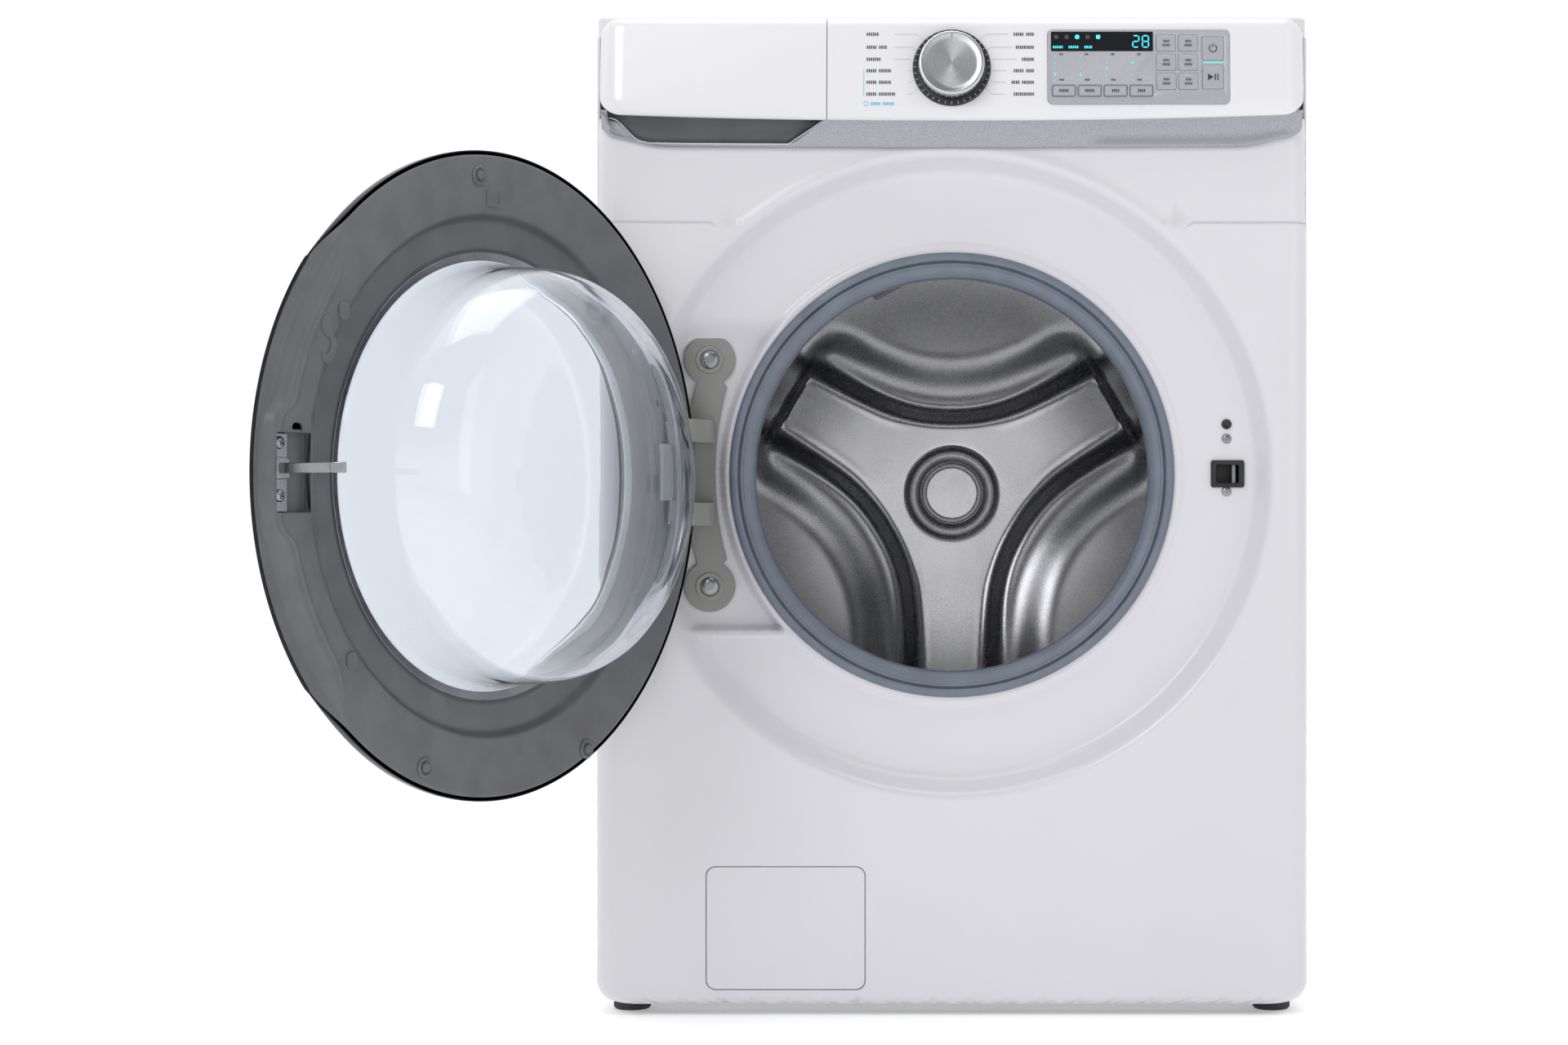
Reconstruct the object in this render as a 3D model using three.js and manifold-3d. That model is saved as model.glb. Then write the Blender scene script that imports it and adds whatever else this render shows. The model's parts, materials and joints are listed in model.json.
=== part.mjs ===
// Front load washing machine with its door standing open.
// Millimetres, +Z up, the front faces -Y. Everything is laid out around the cabinet:
// X = 0 is its middle, Y = 0 its front sheet and Z = 0 the floor. The last lines move
// the whole machine so that the origin is the centre of the front left foot's sole.
import * as THREE from 'three';
import { mergeVertices } from 'three/addons/utils/BufferGeometryUtils.js';
import Module from 'manifold-3d';

const wasm = await Module();
wasm.setup();

// ---------------------------------------------------------------- driving sizes

const GAP = 0.3; // air between two fixed pieces that touch
const PLAY = 0.8; // air around a piece that slides or swings
const WELD = 1; // how far joined lumps of one piece run into each other

// cabinet
const CABINET_WIDTH = 686;
const CABINET_DEPTH = 735;
const CABINET_HEIGHT = 962;
const FLOOR_CLEARANCE = 10;
const SHEET = 3;
const CABINET_CORNER = 22; // radius of the front sheet's upright edges
const FRONT_RETURN = 25; // how far the front sheet wraps back
const LID_HEIGHT = 19;
const REAR_FLANGE = 42;
const RAIL_HEIGHT = 36;
const REAR_TOP_RAIL = 12;
const RAIL_INSET = 0.5; // rails sit this far inside the sheets' edges
const COVER_INSET = 12; // rear cover's edge in from the cabinet's
const BULGE_RADIUS = 172; // round bulge of the rear cover, over the rotor
const BULGE_DEPTH = 9;
const SEAM_STEP = 1.5; // depth of the stamped step across the front sheet
const FOOT_RADIUS = 18;
const FOOT_INSET = 32; // foot centre in from the cabinet's side
const FOOT_SETBACK = 45; // foot centre back from the front sheet

// connections on the back; heights count down from the lid
const VALVE_X = [222, 268];
const VALVE_DROP = 42;
const SPIGOT_RADIUS = 10;
const DRAIN_X = 262;
const DRAIN_DROP = 130;
const DRAIN_RADIUS = 16;
const POWER_X = -268;
const POWER_DROP = 44;
const POWER_WIDTH = 36;
const POWER_HEIGHT = 24;
const POWER_FLANGE = 4;
const HOLE_PLAY = 2; // air around a connection where it leaves the rear cover

// door opening and the dish pressed into the front sheet around it; both follow the door
const DOOR_RADIUS = 288;
const DISH_HEIGHT = 519; // its centre above the floor
const DISH_RADIUS = DOOR_RADIUS + 20;
const DISH_DEPTH = 22;
const DISH_SLOPE = 18; // width of its sloping border
const OPENING_RADIUS = DOOR_RADIUS - 81;
const COLLAR_DEPTH = 12;
const HINGE_POCKET_DEPTH = 15;
const HINGE_POCKET_MARGIN = 12; // pocket edge in from the dish's outer edge
const HINGE_POCKET_TOP = 158;
const HINGE_POCKET_BOTTOM = -150;
const HINGE_POCKET_INNER = OPENING_RADIUS + 19; // radius where the pocket stops beside the opening

// door
const DOOR_HEIGHT = DISH_HEIGHT - 5; // its centre above the floor
const DOOR_FRONT = -38; // outer rim plane of the shut door
const DOOR_BACK = -23; // inner rim plane of the shut door
const DOOR_CROWN = 22; // how far the outer cover bulges past its rim
const DOOR_WALL = 4;
const GLASS_HOLE = OPENING_RADIUS - 11;
const GLASS_WALL = 6;
const BOWL_WALL = 3; // thinner wall of the bowl's deep end
const GLASS_REACH = 92; // how far the shut bowl reaches behind the front sheet
const LIP_RADIUS = OPENING_RADIUS - 17; // inner lip of the rubber gasket
const SEAL_CLEARANCE = 6.5;
const HINGE_X = 31 - DOOR_RADIUS;
const HINGE_Y = -15.5;
const HINGE_REST_DEG = 123; // how far open the door stands
const PIN_RADIUS = 3;
const KNUCKLE_RADIUS = 6.6;
const KNUCKLE_HEIGHT = 22;
const KNUCKLE_SPREAD = 58; // space between the bracket's two knuckles
const BRACKET_THICKNESS = 4;
const BRACKET_REACH = 110; // bracket screw to door centre height
const BRACKET_LOBE = 25;
const BRACKET_X = HINGE_X + 22;

// door lock
const LOCK_X = DOOR_RADIUS - 21.5;
const LOCK_Z = DISH_HEIGHT + 1;
const LOCK_WIDTH = 33;
const LOCK_HEIGHT = 27;
const SOCKET_WIDTH = 22;
const SOCKET_HEIGHT = 17.5;
const LOCK_DEPTH = 31;
const HOOK_WIDTH = 9;
const HOOK_HEIGHT = 9;
const HOOK_Z = LOCK_Z - 2.5;
const HOOK_TIP = 44; // how far the shut door's hook reaches behind the front sheet
const HOOK_PLATE = 72;

// console
const CONSOLE_WIDTH = CABINET_WIDTH - 11;
const CONSOLE_TOP = CABINET_HEIGHT - 5;
const CONSOLE_BACK = 24.7;
const FACE_TILT_DEG = 7;
const FACE_Y = -26; // foot of the tilted face
const FACE_Z = CONSOLE_TOP - 89;
const FACE_WALL = 4;
const LIP_Z = CONSOLE_TOP - 101; // underside of the console's lower lip, at the middle
const LIP_RISE = 8; // how much higher that underside is near the ends
const LIP_BACK = -15.5;
const UNDER_Z = CONSOLE_TOP - 91; // underside of the console behind its lip
const BAND_BOTTOM = CONSOLE_TOP - 125;
const BAND_RISE = 9;
const DRAWER_JOINT_X = 218.5 - CONSOLE_WIDTH / 2; // right edge of the drawer's front
const SEAM_HEIGHT = CONSOLE_TOP - 197; // stamped step across the front sheet

// control panel
const PANEL_LEFT = 91.5;
const PANEL_WIDTH = 173;
const PANEL_HEIGHT = 73;
const PANEL_BOTTOM = 3; // above the foot of the tilted face
const PANEL_CORNER = 5.5;
const PANEL_THICKNESS = 2.4;
const KEY_PROUD = 0.4;
const KEY_DEPTH = 5;
const KNOB_V = 38.5; // knob centre up the tilted face
const KNOB_RADIUS = 32;
const KNOB_HEIGHT = 21;
const KNOB_RING_RADIUS = 37;
const KNOB_RING_HEIGHT = 4;
const KNOB_SHAFT = 4;

// detergent drawer
const DRAWER_LEFT = 15.5 - CONSOLE_WIDTH / 2;
const DRAWER_RIGHT = DRAWER_JOINT_X - 12;
const DRAWER_LENGTH = 262;
const DRAWER_FLOOR = CONSOLE_TOP - 83;
const DRAWER_TOP = CONSOLE_TOP - 23;
const DRAWER_WALL = 3;
const SOFTENER_WIDTH = 52;
const BLEACH_LENGTH = 84;
const HOUSING_WALL = 4;

// service filter
const FILTER_X = -159.5;
const FILTER_Z = 83.5;
const FILTER_WIDTH = 152;
const FILTER_HEIGHT = 117.5;
const FILTER_CORNER = 9;
const FILTER_FLANGE = 7; // stop flange the little door shuts against
const FILTER_CAP_RADIUS = 34;

// washing group
const TUB_TILT_DEG = 1.5;
const TUB_PIVOT_Y = 90; // the group's axis leaves the dish centre here
const TUB_RADIUS = 298;
const TUB_WALL = 5;
const TUB_FRONT = 96;
const TUB_SPLIT = 350;
const TUB_BACK = 642;
const TUB_NECK = OPENING_RADIUS + 5; // radius of the tub's mouth
const DRUM_RADIUS = 277;
const DRUM_WALL = 4;
const DRUM_FRONT = 112;
const DRUM_BACK = 600;
const DRUM_MOUTH = OPENING_RADIUS + 9;
const ARM_WIDTH = 78;
const ARM_HEIGHT = 34;
const HUB_RADIUS = 58;
const LIFTER_HEIGHT = 48;
const LIFTER_WIDTH = 72;
const SHAFT_RADIUS = 15;
const BEARING_RADIUS = 31;
const BEARING_LENGTH = 30;
const ROTOR_RADIUS = 138;
const ROTOR_DEPTH = 34;
const STATOR_RADIUS = 128;
const SPRING_X = 236;
const SPRING_Y = 330;
const SPRING_COIL = 15;
const SPRING_WIRE = 2.4;
const SPRING_TURNS = 8;
const SPRING_STEPS = 9; // straight steps in each turn
const SPRING_LOW = DISH_HEIGHT + 233;
const SPRING_HIGH = UNDER_Z - 18;
const DAMPER_X = 190;
const DAMPER_Y = 330;
const DAMPER_BODY_RADIUS = 17;
const DAMPER_BORE = 10;
const DAMPER_ROD = 8;
const DAMPER_TOP_DROP = 262; // damper lug below the group's axis
const DAMPER_MOUTH = 190;
const DAMPER_WELL = 60; // bottom of the damper's bore
const DAMPER_ROD_FOOT = 96;
const LUG_WIDTH = 28;

// smoothness of round shapes
const FINE = 48;
const ROUND = 24;
const SMALL = 12;
const ARC_STEPS = 4;

// ---------------------------------------------------------------- making solids

const degrees = (angle) => THREE.MathUtils.degToRad(angle);

// A closed three.js shape becomes a solid: shared corners are merged, slivers
// without area are dropped, and the faces are turned outwards.
function solid(geometry) {
  geometry.deleteAttribute('normal');
  geometry.deleteAttribute('uv');
  const merged = mergeVertices(geometry, 1e-3);
  const index = merged.index.array;
  const triangles = [];
  for (let i = 0; i < index.length; i += 3) {
    const [a, b, c] = [index[i], index[i + 1], index[i + 2]];
    if (a !== b && b !== c && c !== a) triangles.push(a, b, c);
  }
  const make = (list) => new wasm.Manifold(new wasm.Mesh({
    numProp: 3,
    vertProperties: new Float32Array(merged.attributes.position.array),
    triVerts: new Uint32Array(list),
  }));
  const body = make(triangles);
  if (body.volume() > 0) return body;
  return make(triangles.reverse());
}

function toGeometry(body) {
  const mesh = body.getMesh();
  const geometry = new THREE.BufferGeometry();
  geometry.setAttribute('position', new THREE.BufferAttribute(mesh.vertProperties, 3));
  geometry.setIndex(new THREE.BufferAttribute(mesh.triVerts, 1));
  geometry.computeVertexNormals();
  return geometry;
}

const join = (first, ...rest) => rest.reduce((sum, body) => sum.add(body), first);
const cut = (first, ...rest) => rest.reduce((left, body) => left.subtract(body), first);

function block([x0, x1], [y0, y1], [z0, z1]) {
  const geometry = new THREE.BoxGeometry(x1 - x0, y1 - y0, z1 - z0);
  geometry.translate((x0 + x1) / 2, (y0 + y1) / 2, (z0 + z1) / 2);
  return solid(geometry);
}

const extrude = (shape, depth, steps) =>
  new THREE.ExtrudeGeometry(shape, { depth, bevelEnabled: false, curveSegments: steps });

// A shape drawn on X and Z, drawn out along Y.
function prismY(shape, y0, y1, steps = ARC_STEPS) {
  return solid(extrude(shape, y1 - y0, steps).rotateX(Math.PI / 2).translate(0, y1, 0));
}

// A shape drawn on X and Y, drawn out along Z.
function prismZ(shape, z0, z1, steps = ARC_STEPS) {
  return solid(extrude(shape, z1 - z0, steps).translate(0, 0, z0));
}

// A list of [Y, Z] corners, drawn out along X.
function prismX(corners, x0, x1) {
  const geometry = extrude(polygon(corners), x1 - x0, ARC_STEPS);
  geometry.rotateX(Math.PI / 2).rotateZ(Math.PI / 2).translate(x0, 0, 0);
  return solid(geometry);
}

const polygon = (corners) => new THREE.Shape(corners.map(([a, b]) => new THREE.Vector2(a, b)));

// A closed [radius, Y] profile turned about an axis along Y.
function turned(profile, segments, x = 0, z = 0) {
  const points = [...profile, profile[0]].map(([r, y]) => new THREE.Vector2(r, y));
  return solid(new THREE.LatheGeometry(points, segments).translate(x, 0, z));
}

// The same about an upright axis: the profile is [radius, Z].
function turnedUpright(profile, segments, x = 0, y = 0) {
  const points = [...profile, profile[0]].map(([r, z]) => new THREE.Vector2(r, z));
  return solid(new THREE.LatheGeometry(points, segments).rotateX(Math.PI / 2).translate(x, y, 0));
}

const discY = (radius, y0, y1, segments, x = 0, z = 0) =>
  turned([[0, y0], [radius, y0], [radius, y1], [0, y1]], segments, x, z);

const postZ = (radius, z0, z1, segments, x = 0, y = 0) =>
  turnedUpright([[0, z0], [radius, z0], [radius, z1], [0, z1]], segments, x, y);

const tubeY = (outer, inner, y0, y1, segments, x = 0, z = 0) =>
  turned([[inner, y0], [outer, y0], [outer, y1], [inner, y1]], segments, x, z);

function roundedRect(x0, x1, z0, z1, radius) {
  const shape = new THREE.Shape();
  shape.moveTo(x0 + radius, z0);
  shape.lineTo(x1 - radius, z0);
  shape.absarc(x1 - radius, z0 + radius, radius, -Math.PI / 2, 0);
  shape.lineTo(x1, z1 - radius);
  shape.absarc(x1 - radius, z1 - radius, radius, 0, Math.PI / 2);
  shape.lineTo(x0 + radius, z1);
  shape.absarc(x0 + radius, z1 - radius, radius, Math.PI / 2, Math.PI);
  shape.lineTo(x0, z0 + radius);
  shape.absarc(x0 + radius, z0 + radius, radius, Math.PI, Math.PI * 1.5);
  return shape;
}

// ---------------------------------------------------------------- scene graph

const machine = new THREE.Group();
const materials = {
  white_enamel: [0xe9e9ec, 0.32, 0],
  white_plastic: [0xededf0, 0.28, 0],
  galvanised: [0xb4b8bb, 0.5, 0.9],
  silver_trim: [0x9a9ba0, 0.35, 0.8],
  dark_grey_plastic: [0x55565b, 0.5, 0],
  key_silver: [0xb2b3b8, 0.4, 0.6],
  knob_metal: [0xc4c5c9, 0.25, 1],
  gasket_rubber: [0x6b7480, 0.6, 0],
  stainless: [0x9c9c9e, 0.25, 1],
  tub_plastic: [0xc9cccd, 0.6, 0],
  concrete: [0x9b9890, 0.9, 0],
  copper_winding: [0x8c4a2a, 0.5, 0.7],
  steel: [0x8f9194, 0.35, 1],
  black_plastic: [0x17181a, 0.45, 0],
  door_grey: [0x68696c, 0.45, 0],
  door_black: [0x0e0f11, 0.12, 0],
  clear_glass: [0xd5dbe2, 0.05, 0],
  hinge_grey: [0x8c8c8a, 0.45, 0.3],
  foot_rubber: [0x3a3b3f, 0.8, 0],
  board_green: [0x1f5b38, 0.6, 0],
  inner_plastic: [0xd6dadf, 0.4, 0],
};

function piece(name, body, materialName, parent = machine) {
  const [color, roughness, metalness] = materials[materialName];
  const material = new THREE.MeshStandardMaterial({ color, roughness, metalness });
  const mesh = new THREE.Mesh(toGeometry(body), material);
  mesh.name = name;
  parent.add(mesh);
  return mesh;
}

const HALF = CABINET_WIDTH / 2;
const LID_Z = CABINET_HEIGHT - LID_HEIGHT;
const SHELL_FRONT = FRONT_RETURN + GAP;

// ---------------------------------------------------------------- cabinet

function cabinetShell() {
  const top = LID_Z - GAP;
  const inner = HALF - SHEET;
  const side = (sign) => {
    const wall = block([inner, HALF], [SHELL_FRONT, CABINET_DEPTH], [FLOOR_CLEARANCE, top]);
    const rear = block([HALF - REAR_FLANGE, HALF], [CABINET_DEPTH - SHEET, CABINET_DEPTH],
      [FLOOR_CLEARANCE, top]);
    const shelf = block([SPRING_X - SPRING_COIL - 8, inner + WELD], [SPRING_Y - 30, SPRING_Y + 30],
      [SPRING_HIGH + GAP, SPRING_HIGH + GAP + SHEET]);
    const half = join(wall, rear, shelf);
    return sign > 0 ? half : half.mirror([1, 0, 0]);
  };
  const rail = (y, z, height) => block([-inner - WELD, inner + WELD], [y, y + SHEET], [z, z + height]);
  return join(side(1), side(-1),
    rail(SHELL_FRONT + RAIL_INSET, FLOOR_CLEARANCE + RAIL_INSET, RAIL_HEIGHT),
    rail(CABINET_DEPTH - SHEET - RAIL_INSET, FLOOR_CLEARANCE + RAIL_INSET, RAIL_HEIGHT),
    rail(SHELL_FRONT + RAIL_INSET, UNDER_Z - 8 - RAIL_HEIGHT, RAIL_HEIGHT),
    rail(CABINET_DEPTH - SHEET - RAIL_INSET, top - REAR_TOP_RAIL - RAIL_INSET, REAR_TOP_RAIL));
}

function rearCover() {
  const y0 = CABINET_DEPTH + GAP;
  const reach = HALF - COVER_INSET;
  const plate = prismY(roundedRect(-reach, reach, 30, LID_Z - COVER_INSET, 10), y0, y0 + SHEET);
  const axisZ = DISH_HEIGHT - (CABINET_DEPTH - TUB_PIVOT_Y) * Math.tan(degrees(TUB_TILT_DEG));
  const out = y0 + BULGE_DEPTH;
  const bulge = turned([[0, y0 + WELD], [BULGE_RADIUS + 4, y0 + WELD], [BULGE_RADIUS + 4,
    y0 + SHEET], [BULGE_RADIUS - 18, out + SHEET], [0, out + SHEET]], ROUND, 0, axisZ);
  const hollow = turned([[0, y0 - 1], [BULGE_RADIUS, y0 - 1], [BULGE_RADIUS, y0],
    [BULGE_RADIUS - 20, out], [0, out]], ROUND, 0, axisZ);
  return cut(join(plate, bulge), hollow);
}

function basePan() {
  const inner = HALF - SHEET - GAP;
  const z0 = FLOOR_CLEARANCE;
  const y0 = SHELL_FRONT + RAIL_INSET + SHEET + GAP;
  const y1 = CABINET_DEPTH - SHEET - RAIL_INSET - GAP;
  const floor = block([-inner, inner], [y0, y1], [z0, z0 + SHEET]);
  const rim = (a0, a1, b0, b1) => block([a0, a1], [b0, b1], [z0, z0 + 14]);
  return join(floor, rim(-inner, -inner + SHEET, y0, y1), rim(inner - SHEET, inner, y0, y1));
}

function topCover() {
  const y0 = CONSOLE_BACK + GAP;
  const y1 = CABINET_DEPTH + 6;
  const outer = prismZ(roundedRect(-HALF, HALF, y0, y1, 12), LID_Z, CABINET_HEIGHT);
  const hollow = prismZ(roundedRect(-HALF + 4, HALF - 4, y0 + 4, y1 - 4, 8), LID_Z - 1,
    CABINET_HEIGHT - 4);
  return cut(outer, hollow);
}

// Region of the dish floor beside the opening that is pressed deeper for the hinge.
function hingePocket(grow) {
  const outer = DISH_RADIUS - HINGE_POCKET_MARGIN + grow;
  const inner = HINGE_POCKET_INNER - grow;
  const top = HINGE_POCKET_TOP + grow;
  const bottom = HINGE_POCKET_BOTTOM - grow;
  const angle = (radius, height) => Math.PI - Math.asin(height / radius);
  const shape = new THREE.Shape();
  shape.absarc(0, DISH_HEIGHT, outer, angle(outer, top), angle(outer, bottom));
  shape.absarc(0, DISH_HEIGHT, inner, angle(inner, bottom), angle(inner, top), true);
  return shape;
}

function frontFrame() {
  const top = UNDER_Z - 4;
  const upperInset = 2;
  const planOutline = (half, back) => {
    const r = CABINET_CORNER;
    const shape = new THREE.Shape();
    shape.moveTo(-half, back);
    shape.lineTo(-half, r);
    shape.absarc(-half + r, r, r, Math.PI, Math.PI * 1.5);
    shape.lineTo(half - r, 0);
    shape.absarc(half - r, r, r, -Math.PI / 2, 0);
    shape.lineTo(half, back);
    return shape;
  };
  const lower = prismZ(planOutline(HALF, FRONT_RETURN), FLOOR_CLEARANCE, SEAM_HEIGHT);
  const upperSolid = prismZ(planOutline(HALF - upperInset, FRONT_RETURN), SEAM_HEIGHT - WELD, top);
  const step = block([-HALF, HALF], [-1, SEAM_STEP], [SEAM_HEIGHT, top + 1]);
  const outer = join(lower, cut(upperSolid, step));
  const inner = HALF - SHEET - upperInset;
  const hollow = block([-inner, inner], [SHEET + SEAM_STEP, FRONT_RETURN + 1],
    [FLOOR_CLEARANCE + SHEET, top + 1]);
  let frame = cut(outer, hollow);

  // dish: sloping border, flat floor, collar around the door opening
  const slopeEnd = DISH_RADIUS - DISH_SLOPE;
  frame = cut(frame, discY(DISH_RADIUS - 2, -2, FRONT_RETURN, FINE, 0, DISH_HEIGHT));
  frame = frame.add(turned([[DISH_RADIUS, SEAM_STEP], [slopeEnd, DISH_DEPTH],
    [OPENING_RADIUS, DISH_DEPTH], [OPENING_RADIUS, DISH_DEPTH + COLLAR_DEPTH],
    [OPENING_RADIUS + SHEET, DISH_DEPTH + COLLAR_DEPTH],
    [OPENING_RADIUS + SHEET, DISH_DEPTH + SHEET], [slopeEnd + 2, DISH_DEPTH + SHEET],
    [DISH_RADIUS + 2, SHEET + SEAM_STEP], [DISH_RADIUS + 2, SEAM_STEP]], FINE, 0, DISH_HEIGHT));

  // hinge pocket
  const pocketFloor = DISH_DEPTH + HINGE_POCKET_DEPTH;
  frame = frame.add(prismY(hingePocket(SHEET), DISH_DEPTH + 0.5, pocketFloor + SHEET, ARC_STEPS));
  frame = cut(frame, prismY(hingePocket(0), DISH_DEPTH - 8, pocketFloor, ARC_STEPS));

  // lock opening
  frame = cut(frame, block([LOCK_X - LOCK_WIDTH / 2, LOCK_X + LOCK_WIDTH / 2],
    [DISH_DEPTH - 5, DISH_DEPTH + SHEET + 1],
    [LOCK_Z - LOCK_HEIGHT / 2, LOCK_Z + LOCK_HEIGHT / 2]));

  // service filter opening with its stop flange
  const w = FILTER_WIDTH / 2;
  const h = FILTER_HEIGHT / 2;
  const rect = (grow, corner) => roundedRect(FILTER_X - w - grow, FILTER_X + w + grow,
    FILTER_Z - h - grow, FILTER_Z + h + grow, corner);
  frame = frame.add(prismY(rect(8, FILTER_CORNER + 6), SHEET / 2, SHEET * 2 + 3));
  frame = cut(frame,
    prismY(rect(PLAY, FILTER_CORNER), -1, SHEET + 1),
    prismY(rect(-FILTER_FLANGE, FILTER_CORNER), SHEET, SHEET * 2 + 4));
  return frame;
}

function foot() {
  return turnedUpright([[0, 0], [FOOT_RADIUS - 1.5, 0], [FOOT_RADIUS, 2], [FOOT_RADIUS, 7],
    [FOOT_RADIUS - 3, FLOOR_CLEARANCE - GAP], [0, FLOOR_CLEARANCE - GAP]], SMALL);
}

function waterInletValve() {
  const z = LID_Z - VALVE_DROP;
  const body = block([VALVE_X[0] - 22, VALVE_X[1] + 22], [CABINET_DEPTH - 60, CABINET_DEPTH - 14],
    [z - 20, z + 20]);
  const spigot = (x) => discY(SPIGOT_RADIUS, CABINET_DEPTH - 20, CABINET_DEPTH + 26, SMALL, x, z);
  return join(body, ...VALVE_X.map(spigot));
}

const FLANGE_Y = CABINET_DEPTH + SHEET + GAP * 2; // where flanges sit on the rear cover

function drainOutlet() {
  const z = LID_Z - DRAIN_DROP;
  return join(discY(DRAIN_RADIUS, CABINET_DEPTH - 30, CABINET_DEPTH + 20, SMALL, DRAIN_X, z),
    discY(DRAIN_RADIUS + 8, FLANGE_Y, CABINET_DEPTH + 8, SMALL, DRAIN_X, z));
}

function powerBlock(growX, growZ, y0, y1) {
  const w = POWER_WIDTH / 2 + growX;
  const h = POWER_HEIGHT / 2 + growZ;
  const z = LID_Z - POWER_DROP;
  return block([POWER_X - w, POWER_X + w], [y0, y1], [z - h, z + h]);
}

const powerInlet = () => join(powerBlock(0, 0, CABINET_DEPTH - 26, FLANGE_Y + WELD),
  powerBlock(POWER_FLANGE + 2, POWER_FLANGE, FLANGE_Y, CABINET_DEPTH + 10));

// The rear cover with holes for the valve's spigots, the drain and the power inlet.
function boredRearCover() {
  const [y0, y1] = [CABINET_DEPTH - 6, CABINET_DEPTH + 12];
  const hole = (radius, x, drop) => discY(radius + HOLE_PLAY, y0, y1, SMALL, x, LID_Z - drop);
  return cut(rearCover(), ...VALVE_X.map((x) => hole(SPIGOT_RADIUS, x, VALVE_DROP)),
    hole(DRAIN_RADIUS, DRAIN_X, DRAIN_DROP), powerBlock(HOLE_PLAY, HOLE_PLAY, y0, y1));
}

function hingeBracket() {
  const back = DISH_DEPTH + HINGE_POCKET_DEPTH - GAP;
  const front = back - BRACKET_THICKNESS;
  const mid = DOOR_HEIGHT + 7;
  const waist = 15;
  const outline = new THREE.Shape();
  const bend = Math.PI / 3;
  const cx = BRACKET_X;
  outline.absarc(cx, mid + BRACKET_REACH, BRACKET_LOBE, -bend, Math.PI + bend);
  outline.lineTo(cx - waist - 4, mid + 62);
  outline.lineTo(cx - waist - 4, mid - 62);
  outline.absarc(cx, mid - BRACKET_REACH, BRACKET_LOBE, Math.PI - bend, bend);
  outline.quadraticCurveTo(cx + waist - 8, mid - 50, cx + waist - 10, mid);
  outline.quadraticCurveTo(cx + waist - 8, mid + 50, cx + BRACKET_LOBE * Math.cos(bend),
    mid + BRACKET_REACH - BRACKET_LOBE * Math.sin(bend));
  let body = prismY(outline, front, back);
  // gooseneck arm: it leaves the pin sideways so that the door's edge can swing in behind it
  const root = front + WELD - HINGE_Y;
  const neck = [[4, 8], [15.5, 27], [16.5, 31], [13, root], [27, root], [27, root - 6], [24, 28],
    [12, 4], [6, -4]];
  const arm = polygon(neck.map(([dx, dy]) => [HINGE_X + dx, HINGE_Y + dy]));
  for (const sign of [-1, 1]) {
    const z = mid + sign * (KNUCKLE_SPREAD + KNUCKLE_HEIGHT) / 2;
    body = join(body, prismZ(arm, z - KNUCKLE_HEIGHT / 2, z + KNUCKLE_HEIGHT / 2),
      postZ(KNUCKLE_RADIUS, z - KNUCKLE_HEIGHT / 2, z + KNUCKLE_HEIGHT / 2, SMALL, HINGE_X, HINGE_Y));
  }
  return join(body, postZ(PIN_RADIUS, mid - KNUCKLE_SPREAD / 2 - WELD,
    mid + KNUCKLE_SPREAD / 2 + WELD, SMALL, HINGE_X, HINGE_Y));
}

function doorLock() {
  const w = LOCK_WIDTH / 2 - GAP;
  const h = LOCK_HEIGHT / 2 - GAP;
  const behind = DISH_DEPTH + SHEET + GAP;
  const body = join(
    block([LOCK_X - w, LOCK_X + w], [DISH_DEPTH - 2, behind + WELD], [LOCK_Z - h, LOCK_Z + h]),
    block([LOCK_X - w - 6, LOCK_X + w + 5], [behind, behind + LOCK_DEPTH],
      [LOCK_Z - h - 14, LOCK_Z + h + 14]));
  return cut(body, block([LOCK_X - SOCKET_WIDTH / 2, LOCK_X + SOCKET_WIDTH / 2],
    [0, behind + LOCK_DEPTH - 6], [LOCK_Z - SOCKET_HEIGHT / 2, LOCK_Z + SOCKET_HEIGHT / 2]));
}

// Rubber bellows: bead over the collar, lip, one fold, and a cuff beside the tub's neck.
function doorGasket() {
  const bead = OPENING_RADIUS + SHEET + 5;
  const front = DISH_DEPTH - GAP;
  const cuffEnd = TUB_FRONT - 3;
  return turned([
    [bead, front], [bead, front - 5], [bead - 5, front - 8], [OPENING_RADIUS - 3, front - 7],
    [LIP_RADIUS, front], [LIP_RADIUS, front + 20], [LIP_RADIUS + 6, front + 28],
    [LIP_RADIUS + 6, cuffEnd], [LIP_RADIUS + 14, cuffEnd], [LIP_RADIUS + 14, front + 26],
    [OPENING_RADIUS - GAP, front + 14], [OPENING_RADIUS - GAP, front],
  ], FINE, 0, DISH_HEIGHT);
}

function spring() {
  const coil = new (class extends THREE.Curve {
    getPoint(t) {
      const angle = t * SPRING_TURNS * Math.PI * 2;
      return new THREE.Vector3(SPRING_COIL * Math.cos(angle), SPRING_COIL * Math.sin(angle),
        THREE.MathUtils.lerp(SPRING_LOW + SPRING_WIRE + GAP, SPRING_HIGH - SPRING_WIRE - GAP, t));
    }
  })();
  const r = SPRING_WIRE;
  const section = polygon([[r, 0], [0, r], [-r, 0], [0, -r]]);
  return solid(new THREE.ExtrudeGeometry(section, {
    extrudePath: coil, steps: SPRING_TURNS * SPRING_STEPS, bevelEnabled: false,
  }));
}

const DAMPER_BASE = FLOOR_CLEARANCE + SHEET + GAP;

function damperBody() {
  return turnedUpright([[0, DAMPER_BASE], [DAMPER_BODY_RADIUS, DAMPER_BASE],
    [DAMPER_BODY_RADIUS, DAMPER_MOUTH], [DAMPER_BORE, DAMPER_MOUTH], [DAMPER_BORE, DAMPER_WELL],
    [0, DAMPER_WELL]],
  SMALL);
}

function controlBoard() {
  const z = FACE_Z + 28;
  return join(block([20, 300], [6, 9], [z, z + 50]), block([60, 130], [9 - WELD, 20], [z + 9, z + 39]));
}

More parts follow.
